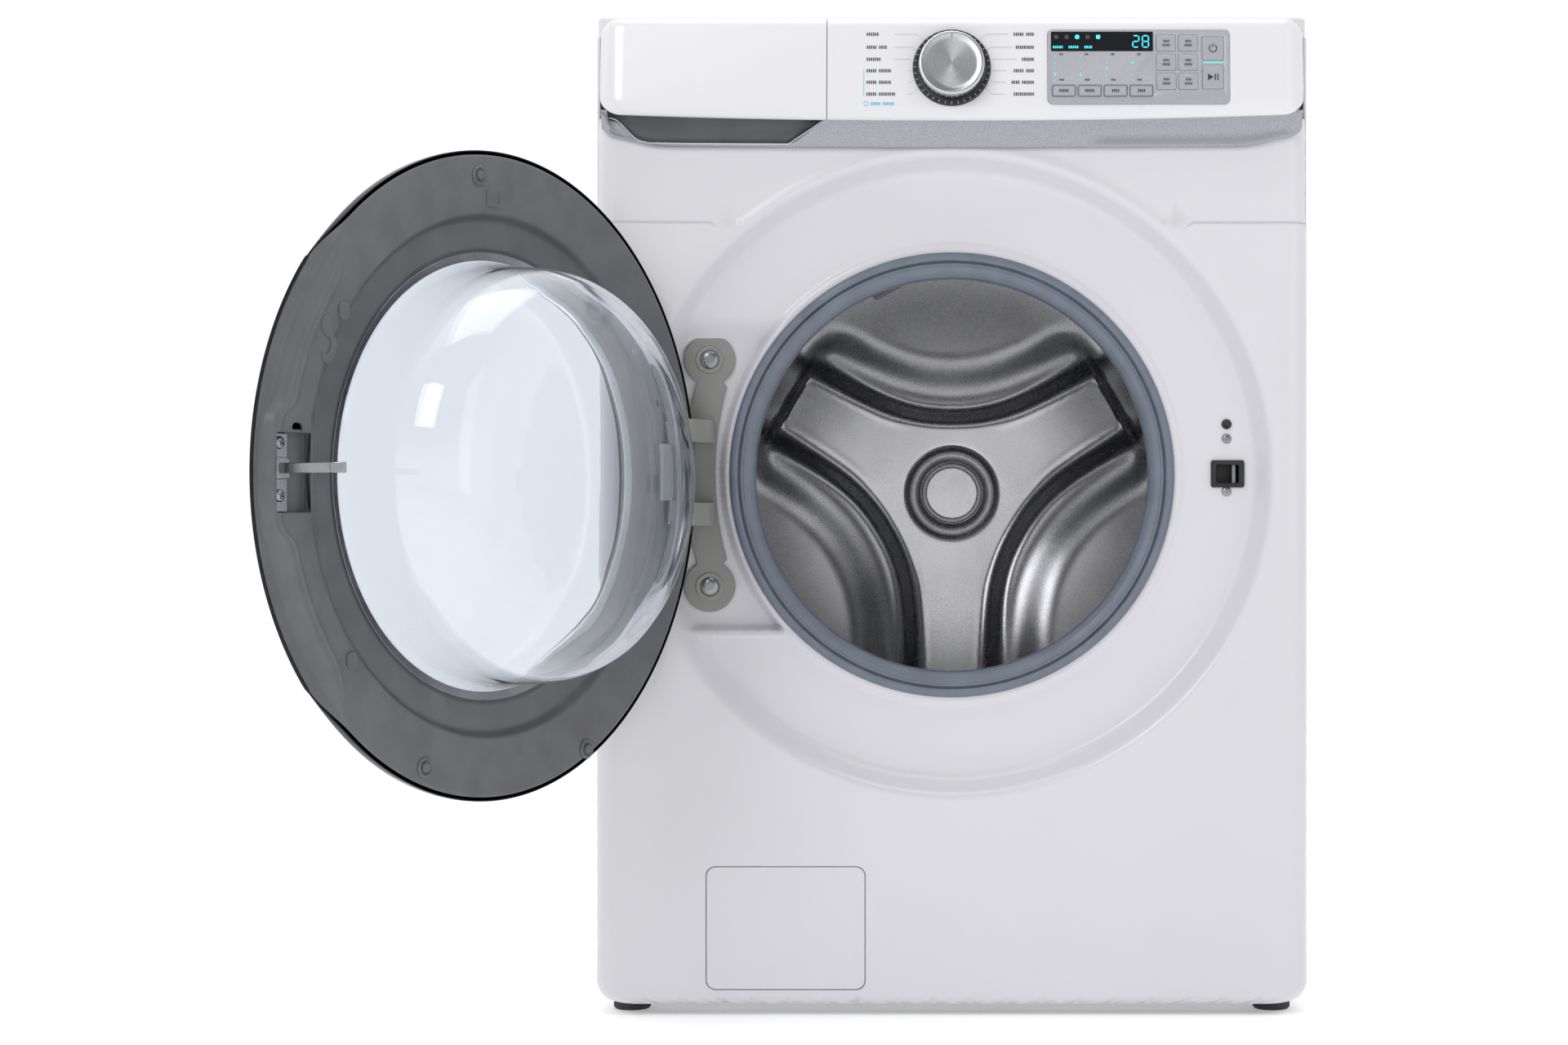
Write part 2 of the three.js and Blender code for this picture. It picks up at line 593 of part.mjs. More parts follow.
// Box that the drawer runs in, with a roof that sprays it and a spout to the tub.
const HOUSING = {
  left: DRAWER_LEFT - PLAY - HOUSING_WALL,
  right: DRAWER_RIGHT + PLAY + HOUSING_WALL,
  floor: DRAWER_FLOOR - PLAY,
  front: SHELL_FRONT + SHEET + 1,
  back: SHELL_FRONT + DRAWER_LENGTH + 12,
};

function dispenserHousing() {
  const h = HOUSING;
  const top = LID_Z - GAP - 1;
  const outer = block([h.left, h.right], [h.front, h.back], [h.floor - HOUSING_WALL, top]);
  const inner = block([h.left + HOUSING_WALL, h.right - HOUSING_WALL],
    [h.front - 1, h.back - HOUSING_WALL], [h.floor, top - HOUSING_WALL]);
  const spout = block([h.right - 60, h.right - 30], [h.back - 50, h.back - 20],
    [h.floor - HOUSING_WALL - 22, h.floor - HOUSING_WALL + WELD]);
  return join(cut(outer, inner), spout);
}

function drainPump() {
  const volute = discY(46, 30, 104, ROUND, FILTER_X, FILTER_Z - 6);
  const motor = discY(32, 104 - WELD, 160, ROUND, FILTER_X, FILTER_Z - 6);
  const stand = block([FILTER_X - 40, FILTER_X + 40], [40, 100],
    [FLOOR_CLEARANCE + SHEET + GAP, FILTER_Z - 30]);
  const outlet = block([FILTER_X + 30, FILTER_X + 78], [60, 84], [FILTER_Z - 4, FILTER_Z + 20]);
  const mouth = discY(FILTER_CAP_RADIUS + PLAY, 29, 40, ROUND, FILTER_X, FILTER_Z);
  return cut(join(volute, motor, stand, outlet), mouth);
}

// ---------------------------------------------------------------- console

const FACE_SLOPE = Math.tan(degrees(FACE_TILT_DEG));
const faceY = (z) => FACE_Y + (z - FACE_Z) * FACE_SLOPE;

const CONSOLE_SPAN = [UNDER_Z - 66, CONSOLE_TOP + 43]; // heights that cutters reach over

// The whole console as a hollow shell, before it is parted into panel and drawer front.
// Its underside dips in a shallow smile.
function consoleSolid(wall) {
  const half = CONSOLE_WIDTH / 2 - wall;
  const top = CONSOLE_TOP - wall;
  const profile = wall === 0
    ? [[CONSOLE_BACK, top], [-6, top], [-13, top - 3], [faceY(top - 9), top - 9],
      [FACE_Y, FACE_Z], [FACE_Y + 2, LIP_Z + 4], [FACE_Y + 6, LIP_Z - 3], [LIP_BACK, LIP_Z - 3],
      [LIP_BACK, UNDER_Z], [CONSOLE_BACK, UNDER_Z]]
    : [[CONSOLE_BACK + 1, top], [-6, top], [-10, top - 3], [faceY(top - 8) + wall, top - 8],
      [FACE_Y + wall, FACE_Z], [FACE_Y + wall + 1, LIP_Z - 8], [LIP_BACK + 1, LIP_Z - 8],
      [LIP_BACK + 1, UNDER_Z + wall], [CONSOLE_BACK + 1, UNDER_Z + wall]];
  const side = prismX(profile, -half, half);
  const corner = 20 - wall;
  const smile = new THREE.Shape();
  const low = wall === 0 ? 0 : 3;
  smile.moveTo(-half, top - corner);
  smile.lineTo(-half, LIP_Z + LIP_RISE + 18 + low);
  smile.quadraticCurveTo(-half, LIP_Z + LIP_RISE + low, -half + 22, LIP_Z + LIP_RISE - 2 + low);
  smile.quadraticCurveTo(0, LIP_Z - LIP_RISE + 2 + low, half - 22, LIP_Z + LIP_RISE - 2 + low);
  smile.quadraticCurveTo(half, LIP_Z + LIP_RISE + low, half, LIP_Z + LIP_RISE + 18 + low);
  smile.lineTo(half, top - corner);
  smile.absarc(half - corner, top - corner, corner, 0, Math.PI / 2);
  smile.lineTo(-half + corner, top);
  smile.absarc(-half + corner, top - corner, corner, Math.PI / 2, Math.PI);
  const plan = new THREE.Shape();
  const turn = 24 - wall;
  const front = FACE_Y + wall;
  plan.moveTo(-half, CONSOLE_BACK + 2);
  plan.lineTo(-half, front + turn);
  plan.absarc(-half + turn, front + turn, turn, Math.PI, Math.PI * 1.5);
  plan.lineTo(half - turn, front);
  plan.absarc(half - turn, front + turn, turn, -Math.PI / 2, 0);
  plan.lineTo(half, CONSOLE_BACK + 2);
  return side.intersect(prismY(smile, -60, 60, 12)).intersect(prismZ(plan, ...CONSOLE_SPAN));
}

function consoleShell() {
  return cut(consoleSolid(0), consoleSolid(FACE_WALL));
}

// Shallow smile of the silver band below the console.
function bandOutline(grow) {
  const half = CONSOLE_WIDTH / 2 - 2 + grow;
  const shape = new THREE.Shape();
  shape.moveTo(-half, UNDER_Z + 2);
  shape.quadraticCurveTo(-half + 2, BAND_BOTTOM + BAND_RISE - grow, -half + 48,
    BAND_BOTTOM + BAND_RISE / 2 - grow);
  shape.quadraticCurveTo(0, BAND_BOTTOM - BAND_RISE / 2 - grow, half - 48,
    BAND_BOTTOM + BAND_RISE / 2 - grow);
  shape.quadraticCurveTo(half - 2, BAND_BOTTOM + BAND_RISE - grow, half, UNDER_Z + 2);
  return shape;
}

const HANDLE_LEFT = -CONSOLE_WIDTH / 2 + 7;
const HANDLE_SLANT = 40; // how far its right end leans back towards the bottom

function handleOutline(grow) {
  return polygon([[HANDLE_LEFT + 1 - grow, LIP_Z + 8], [HANDLE_LEFT + 3 - grow, LIP_Z + 2 - grow],
    [HANDLE_LEFT + 16, BAND_BOTTOM + 12 - grow], [HANDLE_LEFT + 46, BAND_BOTTOM + 6 - grow],
    [DRAWER_JOINT_X - HANDLE_SLANT, BAND_BOTTOM + 3 - grow],
    [DRAWER_JOINT_X - HANDLE_SLANT + 8 + grow, BAND_BOTTOM + 5 - grow],
    [DRAWER_JOINT_X - 2 + grow, LIP_Z + 1], [DRAWER_JOINT_X - 2 + grow, LIP_Z + 8]]);
}

function consoleBand() {
  const back = -GAP;
  const profile = [[back, BAND_BOTTOM - 6], [-4, BAND_BOTTOM - 6], [-7, BAND_BOTTOM + 8],
    [LIP_BACK + GAP, LIP_Z + 2], [LIP_BACK + GAP, UNDER_Z - GAP], [back, UNDER_Z - GAP]];
  const band = prismX(profile, -CONSOLE_WIDTH / 2, CONSOLE_WIDTH / 2)
    .intersect(prismY(bandOutline(0), -60, 60, 12));
  return cut(band, prismY(handleOutline(PLAY), -60, -1.5));
}

function drawerHandle() {
  const profile = [[-1.5 - PLAY, BAND_BOTTOM - 6], [-3.5, BAND_BOTTOM - 6],
    [-5, BAND_BOTTOM + 12], [-10, LIP_Z + 6], [-1.5 - PLAY, LIP_Z + 6]];
  return prismX(profile, -CONSOLE_WIDTH / 2, CONSOLE_WIDTH / 2)
    .intersect(prismY(handleOutline(0), -60, 60));
}

function drawerFront() {
  const half = CONSOLE_WIDTH / 2;
  const whole = consoleShell();
  const front = whole.intersect(block([-half - 1, DRAWER_JOINT_X - PLAY / 2],
    [-60, SHELL_FRONT - 6], CONSOLE_SPAN));
  const endWall = block([DRAWER_JOINT_X - PLAY / 2 - DRAWER_WALL, DRAWER_JOINT_X - PLAY / 2],
    [-60, SHELL_FRONT - 6], [UNDER_Z, CONSOLE_SPAN[1]]).intersect(consoleSolid(0));
  return join(front, endWall);
}

function drawerTray() {
  const y0 = faceY(DRAWER_TOP) + FACE_WALL + PLAY;
  const y1 = y0 + DRAWER_LENGTH + 20;
  const tray = block([DRAWER_LEFT, DRAWER_RIGHT], [y0, y1], [DRAWER_FLOOR, DRAWER_TOP]);
  const w = DRAWER_WALL;
  const split = DRAWER_RIGHT - w - SOFTENER_WIDTH;
  const well = (x0, x1, a, b) => block([x0, x1], [a, b], [DRAWER_FLOOR + w, DRAWER_TOP + 1]);
  return cut(tray,
    well(DRAWER_LEFT + w, split - w, y0 + w, y1 - w),
    well(split, DRAWER_RIGHT - w, y0 + w, y1 - w - BLEACH_LENGTH - w),
    well(split, DRAWER_RIGHT - w, y1 - w - BLEACH_LENGTH, y1 - w));
}

// ---------------------------------------------------------------- controls on the tilted face

const face = new THREE.Group();
face.position.set(0, FACE_Y, FACE_Z);
face.rotation.x = -degrees(FACE_TILT_DEG);
machine.add(face);

// On the face, X runs right, Y into the machine and Z up the slope.
const PANEL_RIGHT = PANEL_LEFT + PANEL_WIDTH;
const PANEL_TOP = PANEL_BOTTOM + PANEL_HEIGHT;

function keyLayout() {
  const keys = [];
  const optionNames = ['key_temperature', 'key_rinse', 'key_spin', 'key_soil'];
  const optionWidth = 22.4;
  const optionPitch = 24.6;
  optionNames.forEach((name, i) => keys.push({ name, x: PANEL_LEFT + 4 + optionWidth / 2
    + i * optionPitch, z: PANEL_BOTTOM + 13, w: optionWidth, h: 11.2 }));
  const sideNames = [['key_pre_soak', 'key_delay_end'], ['key_fast_wash', 'key_alarm_off'],
    ['key_self_check', 'key_remote']];
  const sideWidth = 18.4;
  const sidePitch = 21;
  sideNames.forEach((row, r) => row.forEach((name, c) => keys.push({ name,
    x: PANEL_LEFT + 103.6 + sideWidth / 2 + c * sidePitch, z: PANEL_TOP - 13.4 - r * 18.7,
    w: sideWidth, h: 15.6 })));
  ['key_power', 'key_start'].forEach((name, i) => keys.push({ name, x: PANEL_RIGHT - 15.6,
    z: PANEL_TOP - 18.6 - i * 28, w: 20, h: 23 }));
  return keys;
}

const keyShape = (key, grow) => roundedRect(key.x - key.w / 2 - grow, key.x + key.w / 2 + grow,
  key.z - key.h / 2 - grow, key.z + key.h / 2 + grow, 1.6);

function displayPlate() {
  const outline = roundedRect(PANEL_LEFT, PANEL_RIGHT, PANEL_BOTTOM, PANEL_TOP, PANEL_CORNER);
  const plate = prismY(outline, -KEY_PROUD - PANEL_THICKNESS + 1.4, 1.4);
  return cut(plate, ...keyLayout().map((key) => prismY(keyShape(key, GAP), -5, 5, 1)));
}

function consolePanel() {
  const half = CONSOLE_WIDTH / 2;
  const shell = consoleShell().intersect(block([DRAWER_JOINT_X + PLAY / 2, half + 1],
    [-60, 60], CONSOLE_SPAN));
  const endWall = block([DRAWER_JOINT_X + PLAY / 2, DRAWER_JOINT_X + PLAY / 2 + FACE_WALL],
    [-60, 60], [UNDER_Z, CONSOLE_SPAN[1]]).intersect(consoleSolid(0));
  const onFace = (body) => body.rotate([-FACE_TILT_DEG, 0, 0]).translate([0, FACE_Y, FACE_Z]);
  const seat = prismY(roundedRect(PANEL_LEFT - GAP, PANEL_RIGHT + GAP, PANEL_BOTTOM - GAP,
    PANEL_TOP + GAP, PANEL_CORNER + GAP), -4, 1.4 + GAP);
  const window = block([PANEL_LEFT + 3, PANEL_RIGHT - 3], [-4, 12], [PANEL_BOTTOM + 5,
    PANEL_TOP - 3]);
  const shaftHole = discY(KNOB_SHAFT + PLAY, -4, 12, SMALL, 0, KNOB_V);
  return cut(join(shell, endWall), onFace(seat), onFace(window), onFace(shaftHole));
}

const key = (layout) => prismY(keyShape(layout, 0), -KEY_PROUD - 1.2, KEY_DEPTH, 1);

function cycleKnob() {
  return turned([[0, -KNOB_HEIGHT - GAP], [KNOB_RADIUS - 2, -KNOB_HEIGHT - GAP],
    [KNOB_RADIUS - 0.8, -KNOB_HEIGHT + 1], [KNOB_RADIUS, -GAP * 2], [KNOB_SHAFT, -GAP * 2],
    [KNOB_SHAFT, FACE_WALL + 10], [0, FACE_WALL + 10]], ROUND, 0, KNOB_V);
}

function knobRing() {
  return tubeY(KNOB_RING_RADIUS, KNOB_RADIUS + PLAY, -KNOB_RING_HEIGHT - GAP, -GAP, ROUND, 0,
    KNOB_V);
}

// ---------------------------------------------------------------- service filter

function filterDoor() {
  const w = FILTER_WIDTH / 2;
  const h = FILTER_HEIGHT / 2;
  const leaf = prismY(roundedRect(FILTER_X - w, FILTER_X + w, FILTER_Z - h, FILTER_Z + h,
    FILTER_CORNER), 0, SHEET - GAP);
  const pull = block([FILTER_X - 18, FILTER_X + 18], [SHEET - GAP - 1, SHEET + 4],
    [FILTER_Z + h - FILTER_FLANGE - 6, FILTER_Z + h - FILTER_FLANGE - 3]);
  return join(leaf, pull);
}

function filterCap() {
  const plug = discY(FILTER_CAP_RADIUS, 22, 38, ROUND, FILTER_X, FILTER_Z);
  const grip = block([FILTER_X - 26, FILTER_X + 26], [12, 22 + WELD], [FILTER_Z - 5, FILTER_Z + 5]);
  return join(plug, grip);
}

// ---------------------------------------------------------------- washing group

const washer = new THREE.Group();
washer.position.set(0, TUB_PIVOT_Y, DISH_HEIGHT);
washer.rotation.x = -degrees(TUB_TILT_DEG);
machine.add(washer);
const along = (y) => y - TUB_PIVOT_Y; // place along the group's own axis

const ringProfile = (points) => points.map(([r, y]) => [r, along(y)]);

function tubFront() {
  const inner = TUB_RADIUS - TUB_WALL;
  const ring = turned(ringProfile([[TUB_NECK, TUB_FRONT], [TUB_RADIUS - 12, TUB_FRONT],
    [TUB_RADIUS, TUB_FRONT + 12], [TUB_RADIUS, TUB_SPLIT - GAP], [inner, TUB_SPLIT - GAP],
    [inner, TUB_FRONT + 14], [inner - 8, TUB_FRONT + TUB_WALL], [TUB_NECK, TUB_FRONT + TUB_WALL]]),
  FINE);
  const lug = (x, z0, z1) => block([x - LUG_WIDTH / 2, x + LUG_WIDTH / 2],
    [along(SPRING_Y - LUG_WIDTH / 2), along(TUB_SPLIT - 4)], [z0, z1]);
  const springTop = SPRING_LOW - DISH_HEIGHT + 5;
  const springs = join(lug(SPRING_X, 0, springTop), lug(-SPRING_X, 0, springTop));
  const dampers = join(lug(DAMPER_X, -DAMPER_TOP_DROP, 0), lug(-DAMPER_X, -DAMPER_TOP_DROP, 0));
  const room = discY(inner + WELD, along(0), along(TUB_BACK), FINE);
  return join(ring, cut(join(springs, dampers), room));
}

function tubRear() {
  const inner = TUB_RADIUS - TUB_WALL;
  const shell = turned(ringProfile([[inner, TUB_SPLIT], [TUB_RADIUS, TUB_SPLIT],
    [TUB_RADIUS, TUB_BACK - 10], [TUB_RADIUS - 10, TUB_BACK], [BEARING_RADIUS + 12, TUB_BACK],
    [BEARING_RADIUS + 12, TUB_BACK + 22], [BEARING_RADIUS + GAP, TUB_BACK + 22],
    [BEARING_RADIUS + GAP, TUB_BACK - TUB_WALL - 3], [BEARING_RADIUS + 12, TUB_BACK - TUB_WALL - 3],
    [BEARING_RADIUS + 12, TUB_BACK - TUB_WALL], [inner - 8, TUB_BACK - TUB_WALL],
    [inner, TUB_BACK - TUB_WALL - 8]]), FINE);
  return shell;
}

function counterweight() {
  return tubeY(TUB_RADIUS - 16, TUB_NECK + 14, along(TUB_FRONT - 30), along(TUB_FRONT - GAP), ROUND);
}

function mainBearing() {
  return tubeY(BEARING_RADIUS, SHAFT_RADIUS + 0.4, along(TUB_BACK - 6),
    along(TUB_BACK - 6 + BEARING_LENGTH), ROUND);
}

function stator() {
  return tubeY(STATOR_RADIUS - 8, BEARING_RADIUS + 12 + 4 * GAP, along(TUB_BACK + GAP),
    along(TUB_BACK + 22), ROUND);
}

function rotor() {
  const y0 = TUB_BACK + 4;
  const y1 = y0 + ROTOR_DEPTH;
  return turned(ringProfile([[SHAFT_RADIUS + GAP, y1 - 5], [STATOR_RADIUS, y1 - 5],
    [STATOR_RADIUS, y0], [ROTOR_RADIUS, y0], [ROTOR_RADIUS, y1], [SHAFT_RADIUS + GAP, y1]]), ROUND);
}

// Three-armed spider and shaft that carry the drum through the bearing.
function drumShaft() {
  let body = discY(46, along(DRUM_BACK + GAP), along(DRUM_BACK + 22), ROUND);
  for (let i = 0; i < 3; i += 1) {
    const arm = block([-18, 18], [along(DRUM_BACK + GAP), along(DRUM_BACK + 18)],
      [20, DRUM_RADIUS - 14]);
    body = body.add(arm.rotate([0, 60 + i * 120, 0]));
  }
  return join(body, discY(SHAFT_RADIUS, along(DRUM_BACK + 20), along(TUB_BACK + 50), SMALL));
}

// Stainless drum: rolled lip, wall, three raised arms on the back, three lifters inside.
function drum() {
  const inner = DRUM_RADIUS - DRUM_WALL;
  let body = turned(ringProfile([[DRUM_MOUTH, DRUM_FRONT + 2], [DRUM_MOUTH + 6, DRUM_FRONT - 3],
    [DRUM_RADIUS - 14, DRUM_FRONT + 8], [DRUM_RADIUS, DRUM_FRONT + 24], [DRUM_RADIUS, DRUM_BACK],
    [0, DRUM_BACK], [0, DRUM_BACK - DRUM_WALL], [inner, DRUM_BACK - DRUM_WALL],
    [inner, DRUM_FRONT + 26], [DRUM_RADIUS - 17, DRUM_FRONT + 12],
    [DRUM_MOUTH + 5, DRUM_FRONT + 3]]), FINE);
  body = body.add(discY(HUB_RADIUS, along(DRUM_BACK - DRUM_WALL - ARM_HEIGHT),
    along(DRUM_BACK - 1), ROUND));
  const floor = along(DRUM_BACK - 1);
  const lifter = polygon([[-LIFTER_WIDTH / 2, inner + 1], [-14, inner - LIFTER_HEIGHT],
    [14, inner - LIFTER_HEIGHT], [LIFTER_WIDTH / 2, inner + 1]]);
  for (let i = 0; i < 3; i += 1) {
    const turn = [0, 60 + i * 120, 0];
    const arm = block([-ARM_WIDTH / 2, ARM_WIDTH / 2],
      [along(DRUM_BACK - DRUM_WALL - ARM_HEIGHT), floor], [0, inner - 4]);
    const fin = prismY(lifter, along(DRUM_FRONT + 60), along(DRUM_BACK - ARM_HEIGHT - 20))
      .intersect(discY(DRUM_RADIUS - 1, along(DRUM_FRONT), along(DRUM_BACK), FINE));
    body = join(body, arm.rotate(turn), fin.rotate(turn));
  }
  return cut(body, discY(HUB_RADIUS - 8, along(DRUM_FRONT), along(DRUM_BACK - DRUM_WALL - 18),
    ROUND));
}

function damperRod() {
  const top = DISH_HEIGHT - DAMPER_TOP_DROP - 8
    - (DAMPER_Y - TUB_PIVOT_Y) * Math.tan(degrees(TUB_TILT_DEG));
  return postZ(DAMPER_ROD, DAMPER_ROD_FOOT, top, SMALL);
}

// ---------------------------------------------------------------- door, drawn shut

const door = new THREE.Group();
door.position.set(HINGE_X, HINGE_Y, 0);
door.rotation.z = -degrees(HINGE_REST_DEG);
machine.add(door);
const shut = new THREE.Group(); // takes the shut door's own places
shut.position.set(-HINGE_X, -HINGE_Y, 0);
door.add(shut);

const doorRing = (points, segments) => turned(points, segments, 0, DOOR_HEIGHT);

function doorCover() {
  const r = DOOR_RADIUS;
  const w = DOOR_WALL;
  const crown = DOOR_FRONT - DOOR_CROWN;
  return doorRing([[0, crown], [r * 0.52, crown + 3], [r * 0.84, crown + 12], [r - 9, DOOR_FRONT],
    [r, DOOR_FRONT + 7], [r, DOOR_BACK - 1], [r - w, DOOR_BACK - 1], [r - w, DOOR_FRONT + 8],
    [r * 0.84, crown + 12 + w], [r * 0.52, crown + 3 + w], [0, crown + w]], FINE);
}

const FRAME_WALL = 4;
const FRAME_BACK = DOOR_BACK - FRAME_WALL;
const HOOK_X = LOCK_X - 5;

function doorFrame() {
  const rim = DOOR_RADIUS - DOOR_WALL - GAP;
  const step = DOOR_RADIUS * 0.795;
  const well = DOOR_BACK - 7;
  const ring = doorRing([[rim, DOOR_BACK], [rim, FRAME_BACK], [step + 3, FRAME_BACK],
    [step - 3, well - FRAME_WALL], [GLASS_HOLE + GAP, well - FRAME_WALL],
    [GLASS_HOLE + GAP, well], [step - 4, well], [step + 2, DOOR_BACK]], FINE);
  const slot = block([HOOK_X - HOOK_WIDTH / 2 - 2, HOOK_X + HOOK_WIDTH / 2 + 2],
    [FRAME_BACK - 1, DOOR_BACK + 1], [HOOK_Z - HOOK_HEIGHT, HOOK_Z + HOOK_HEIGHT]);
  return cut(ring, slot);
}

function doorGlass() {
  const flangeBack = DOOR_BACK - 7 - FRAME_WALL - GAP;
  const seal = LIP_RADIUS - SEAL_CLEARANCE;
  const outside = [[GLASS_HOLE - 2, flangeBack], [seal + 3, flangeBack + 12], [seal, 8],
    [seal - 2, 28], [seal - 12, 54], [seal - 36, GLASS_REACH - 15], [seal - 84, GLASS_REACH - 4],
    [0, GLASS_REACH]];
  const inside = [[0, GLASS_REACH - GLASS_WALL], [seal - 84 - BOWL_WALL, GLASS_REACH - 4 - GLASS_WALL],
    [seal - 36 - BOWL_WALL, GLASS_REACH - 15 - GLASS_WALL], [seal - 12 - GLASS_WALL, 54 - GLASS_WALL],
    [seal - 2 - GLASS_WALL, 28], [seal - GLASS_WALL, 8], [seal + 3 - GLASS_WALL, flangeBack + 12],
    [GLASS_HOLE - 2 - GLASS_WALL, flangeBack - GLASS_WALL]];
  return doorRing([...outside, ...inside, [GLASS_HOLE + 10, flangeBack - GLASS_WALL],
    [GLASS_HOLE + 10, flangeBack]], FINE);
}

function doorHook() {
  const foot = FRAME_BACK - GAP;
  const w = HOOK_WIDTH / 2;
  const h = HOOK_HEIGHT / 2;
  const plate = block([HOOK_X - w - 5, HOOK_X + w + 4], [foot - 2.2, foot],
    [DOOR_HEIGHT - HOOK_PLATE / 2, DOOR_HEIGHT + HOOK_PLATE / 2]);
  const barb = [[HOOK_X - w, foot - WELD], [HOOK_X, foot - WELD], [HOOK_X, HOOK_TIP - 14],
    [HOOK_X + w, HOOK_TIP - 12], [HOOK_X + w, HOOK_TIP - 7], [HOOK_X, HOOK_TIP],
    [HOOK_X - w, HOOK_TIP]];
  return join(plate, prismZ(polygon(barb), HOOK_Z - h, HOOK_Z + h));
}

function doorHingeArm() {
  const mid = DOOR_HEIGHT + 7;
  const half = KNUCKLE_SPREAD / 2 - PLAY;
  const foot = DOOR_BACK + GAP;
  const web = polygon([[HINGE_X - 5, HINGE_Y + 2], [HINGE_X - 9, foot], [HINGE_X + 26, foot],
    [HINGE_X + 26, foot + 4], [HINGE_X + 6, HINGE_Y + 3]]);
  const body = join(postZ(KNUCKLE_RADIUS, mid - half, mid + half, SMALL, HINGE_X, HINGE_Y),
    prismZ(web, mid - half, mid + half));
  return cut(body, postZ(PIN_RADIUS + 0.4, mid - half - 1, mid + half + 1, SMALL, HINGE_X, HINGE_Y));
}

// ---------------------------------------------------------------- assembly

piece('cabinet_shell', cabinetShell(), 'white_enamel');
piece('rear_cover', boredRearCover(), 'galvanised');
piece('base_pan', basePan(), 'galvanised');
piece('top_cover', topCover(), 'white_enamel');
piece('front_frame', frontFrame(), 'white_enamel');
piece('console_panel', consolePanel(), 'white_plastic');
piece('console_band', consoleBand(), 'silver_trim');
piece('display_plate', displayPlate(), 'key_silver', face);
piece('knob_ring', knobRing(), 'steel', face);
piece('cycle_knob', cycleKnob(), 'knob_metal', face);
keyLayout().forEach((layout) => piece(layout.name, key(layout), 'key_silver', face));
piece('control_board', controlBoard(), 'board_green');
piece('dispenser_housing', dispenserHousing(), 'inner_plastic');
piece('water_inlet_valve', waterInletValve(), 'inner_plastic');
piece('drain_outlet', drainOutlet(), 'dark_grey_plastic');
piece('power_inlet', powerInlet(), 'black_plastic');
piece('drain_pump', drainPump(), 'inner_plastic');
piece('hinge_bracket', hingeBracket(), 'hinge_grey');
piece('door_lock', doorLock(), 'black_plastic');
piece('door_gasket', doorGasket(), 'gasket_rubber');

const footX = HALF - FOOT_INSET;
const footBack = CABINET_DEPTH - FOOT_SETBACK;
for (const [name, x, y] of [['front_left', -footX, FOOT_SETBACK], ['front_right', footX,
  FOOT_SETBACK], ['rear_left', -footX, footBack], ['rear_right', footX, footBack]]) {
  piece(`foot_${name}`, foot(), 'foot_rubber').position.set(x, y, 0);
}

for (const [side, sign] of [['left', -1], ['right', 1]]) {
  piece(`spring_${side}`, spring(), 'steel').position.set(sign * SPRING_X, SPRING_Y, 0);
  piece(`damper_body_${side}`, damperBody(), 'steel').position.set(sign * DAMPER_X, DAMPER_Y, 0);
  piece(`damper_rod_${side}`, damperRod(), 'steel').position.set(sign * DAMPER_X, DAMPER_Y, 0);
}

piece('drawer_front', drawerFront(), 'white_plastic');
piece('drawer_handle', drawerHandle(), 'dark_grey_plastic');
piece('drawer_tray', drawerTray(), 'inner_plastic');
piece('filter_door', filterDoor(), 'white_plastic');
piece('filter_cap', filterCap(), 'inner_plastic');

piece('tub_front', tubFront(), 'tub_plastic', washer);
piece('tub_rear', tubRear(), 'tub_plastic', washer);
piece('counterweight', counterweight(), 'concrete', washer);
piece('main_bearing', mainBearing(), 'steel', washer);
piece('stator', stator(), 'copper_winding', washer);
piece('drum', drum(), 'stainless', washer);
piece('drum_shaft', drumShaft(), 'steel', washer);
piece('rotor', rotor(), 'steel', washer);

piece('door_cover', doorCover(), 'door_black', shut);
piece('door_frame', doorFrame(), 'door_grey', shut);
piece('door_glass', doorGlass(), 'clear_glass', shut);
piece('door_hook', doorHook(), 'steel', shut);
piece('door_hinge_arm', doorHingeArm(), 'hinge_grey', shut);

machine.position.set(footX, -FOOT_SETBACK, 0);

export default machine;
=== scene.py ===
"""Looks of a front load washing machine with its door standing open.

Sizes are in millimetres on the cabinet: X = 0 is its middle, Y = 0 its front sheet,
Z = 0 the floor, and the front faces -Y. A place matrix takes each piece into the frame.
"""
import json
import math

import bmesh
import bpy
import numpy as np
from mathutils import Matrix, Vector
from mathutils.geometry import delaunay_2d_cdt


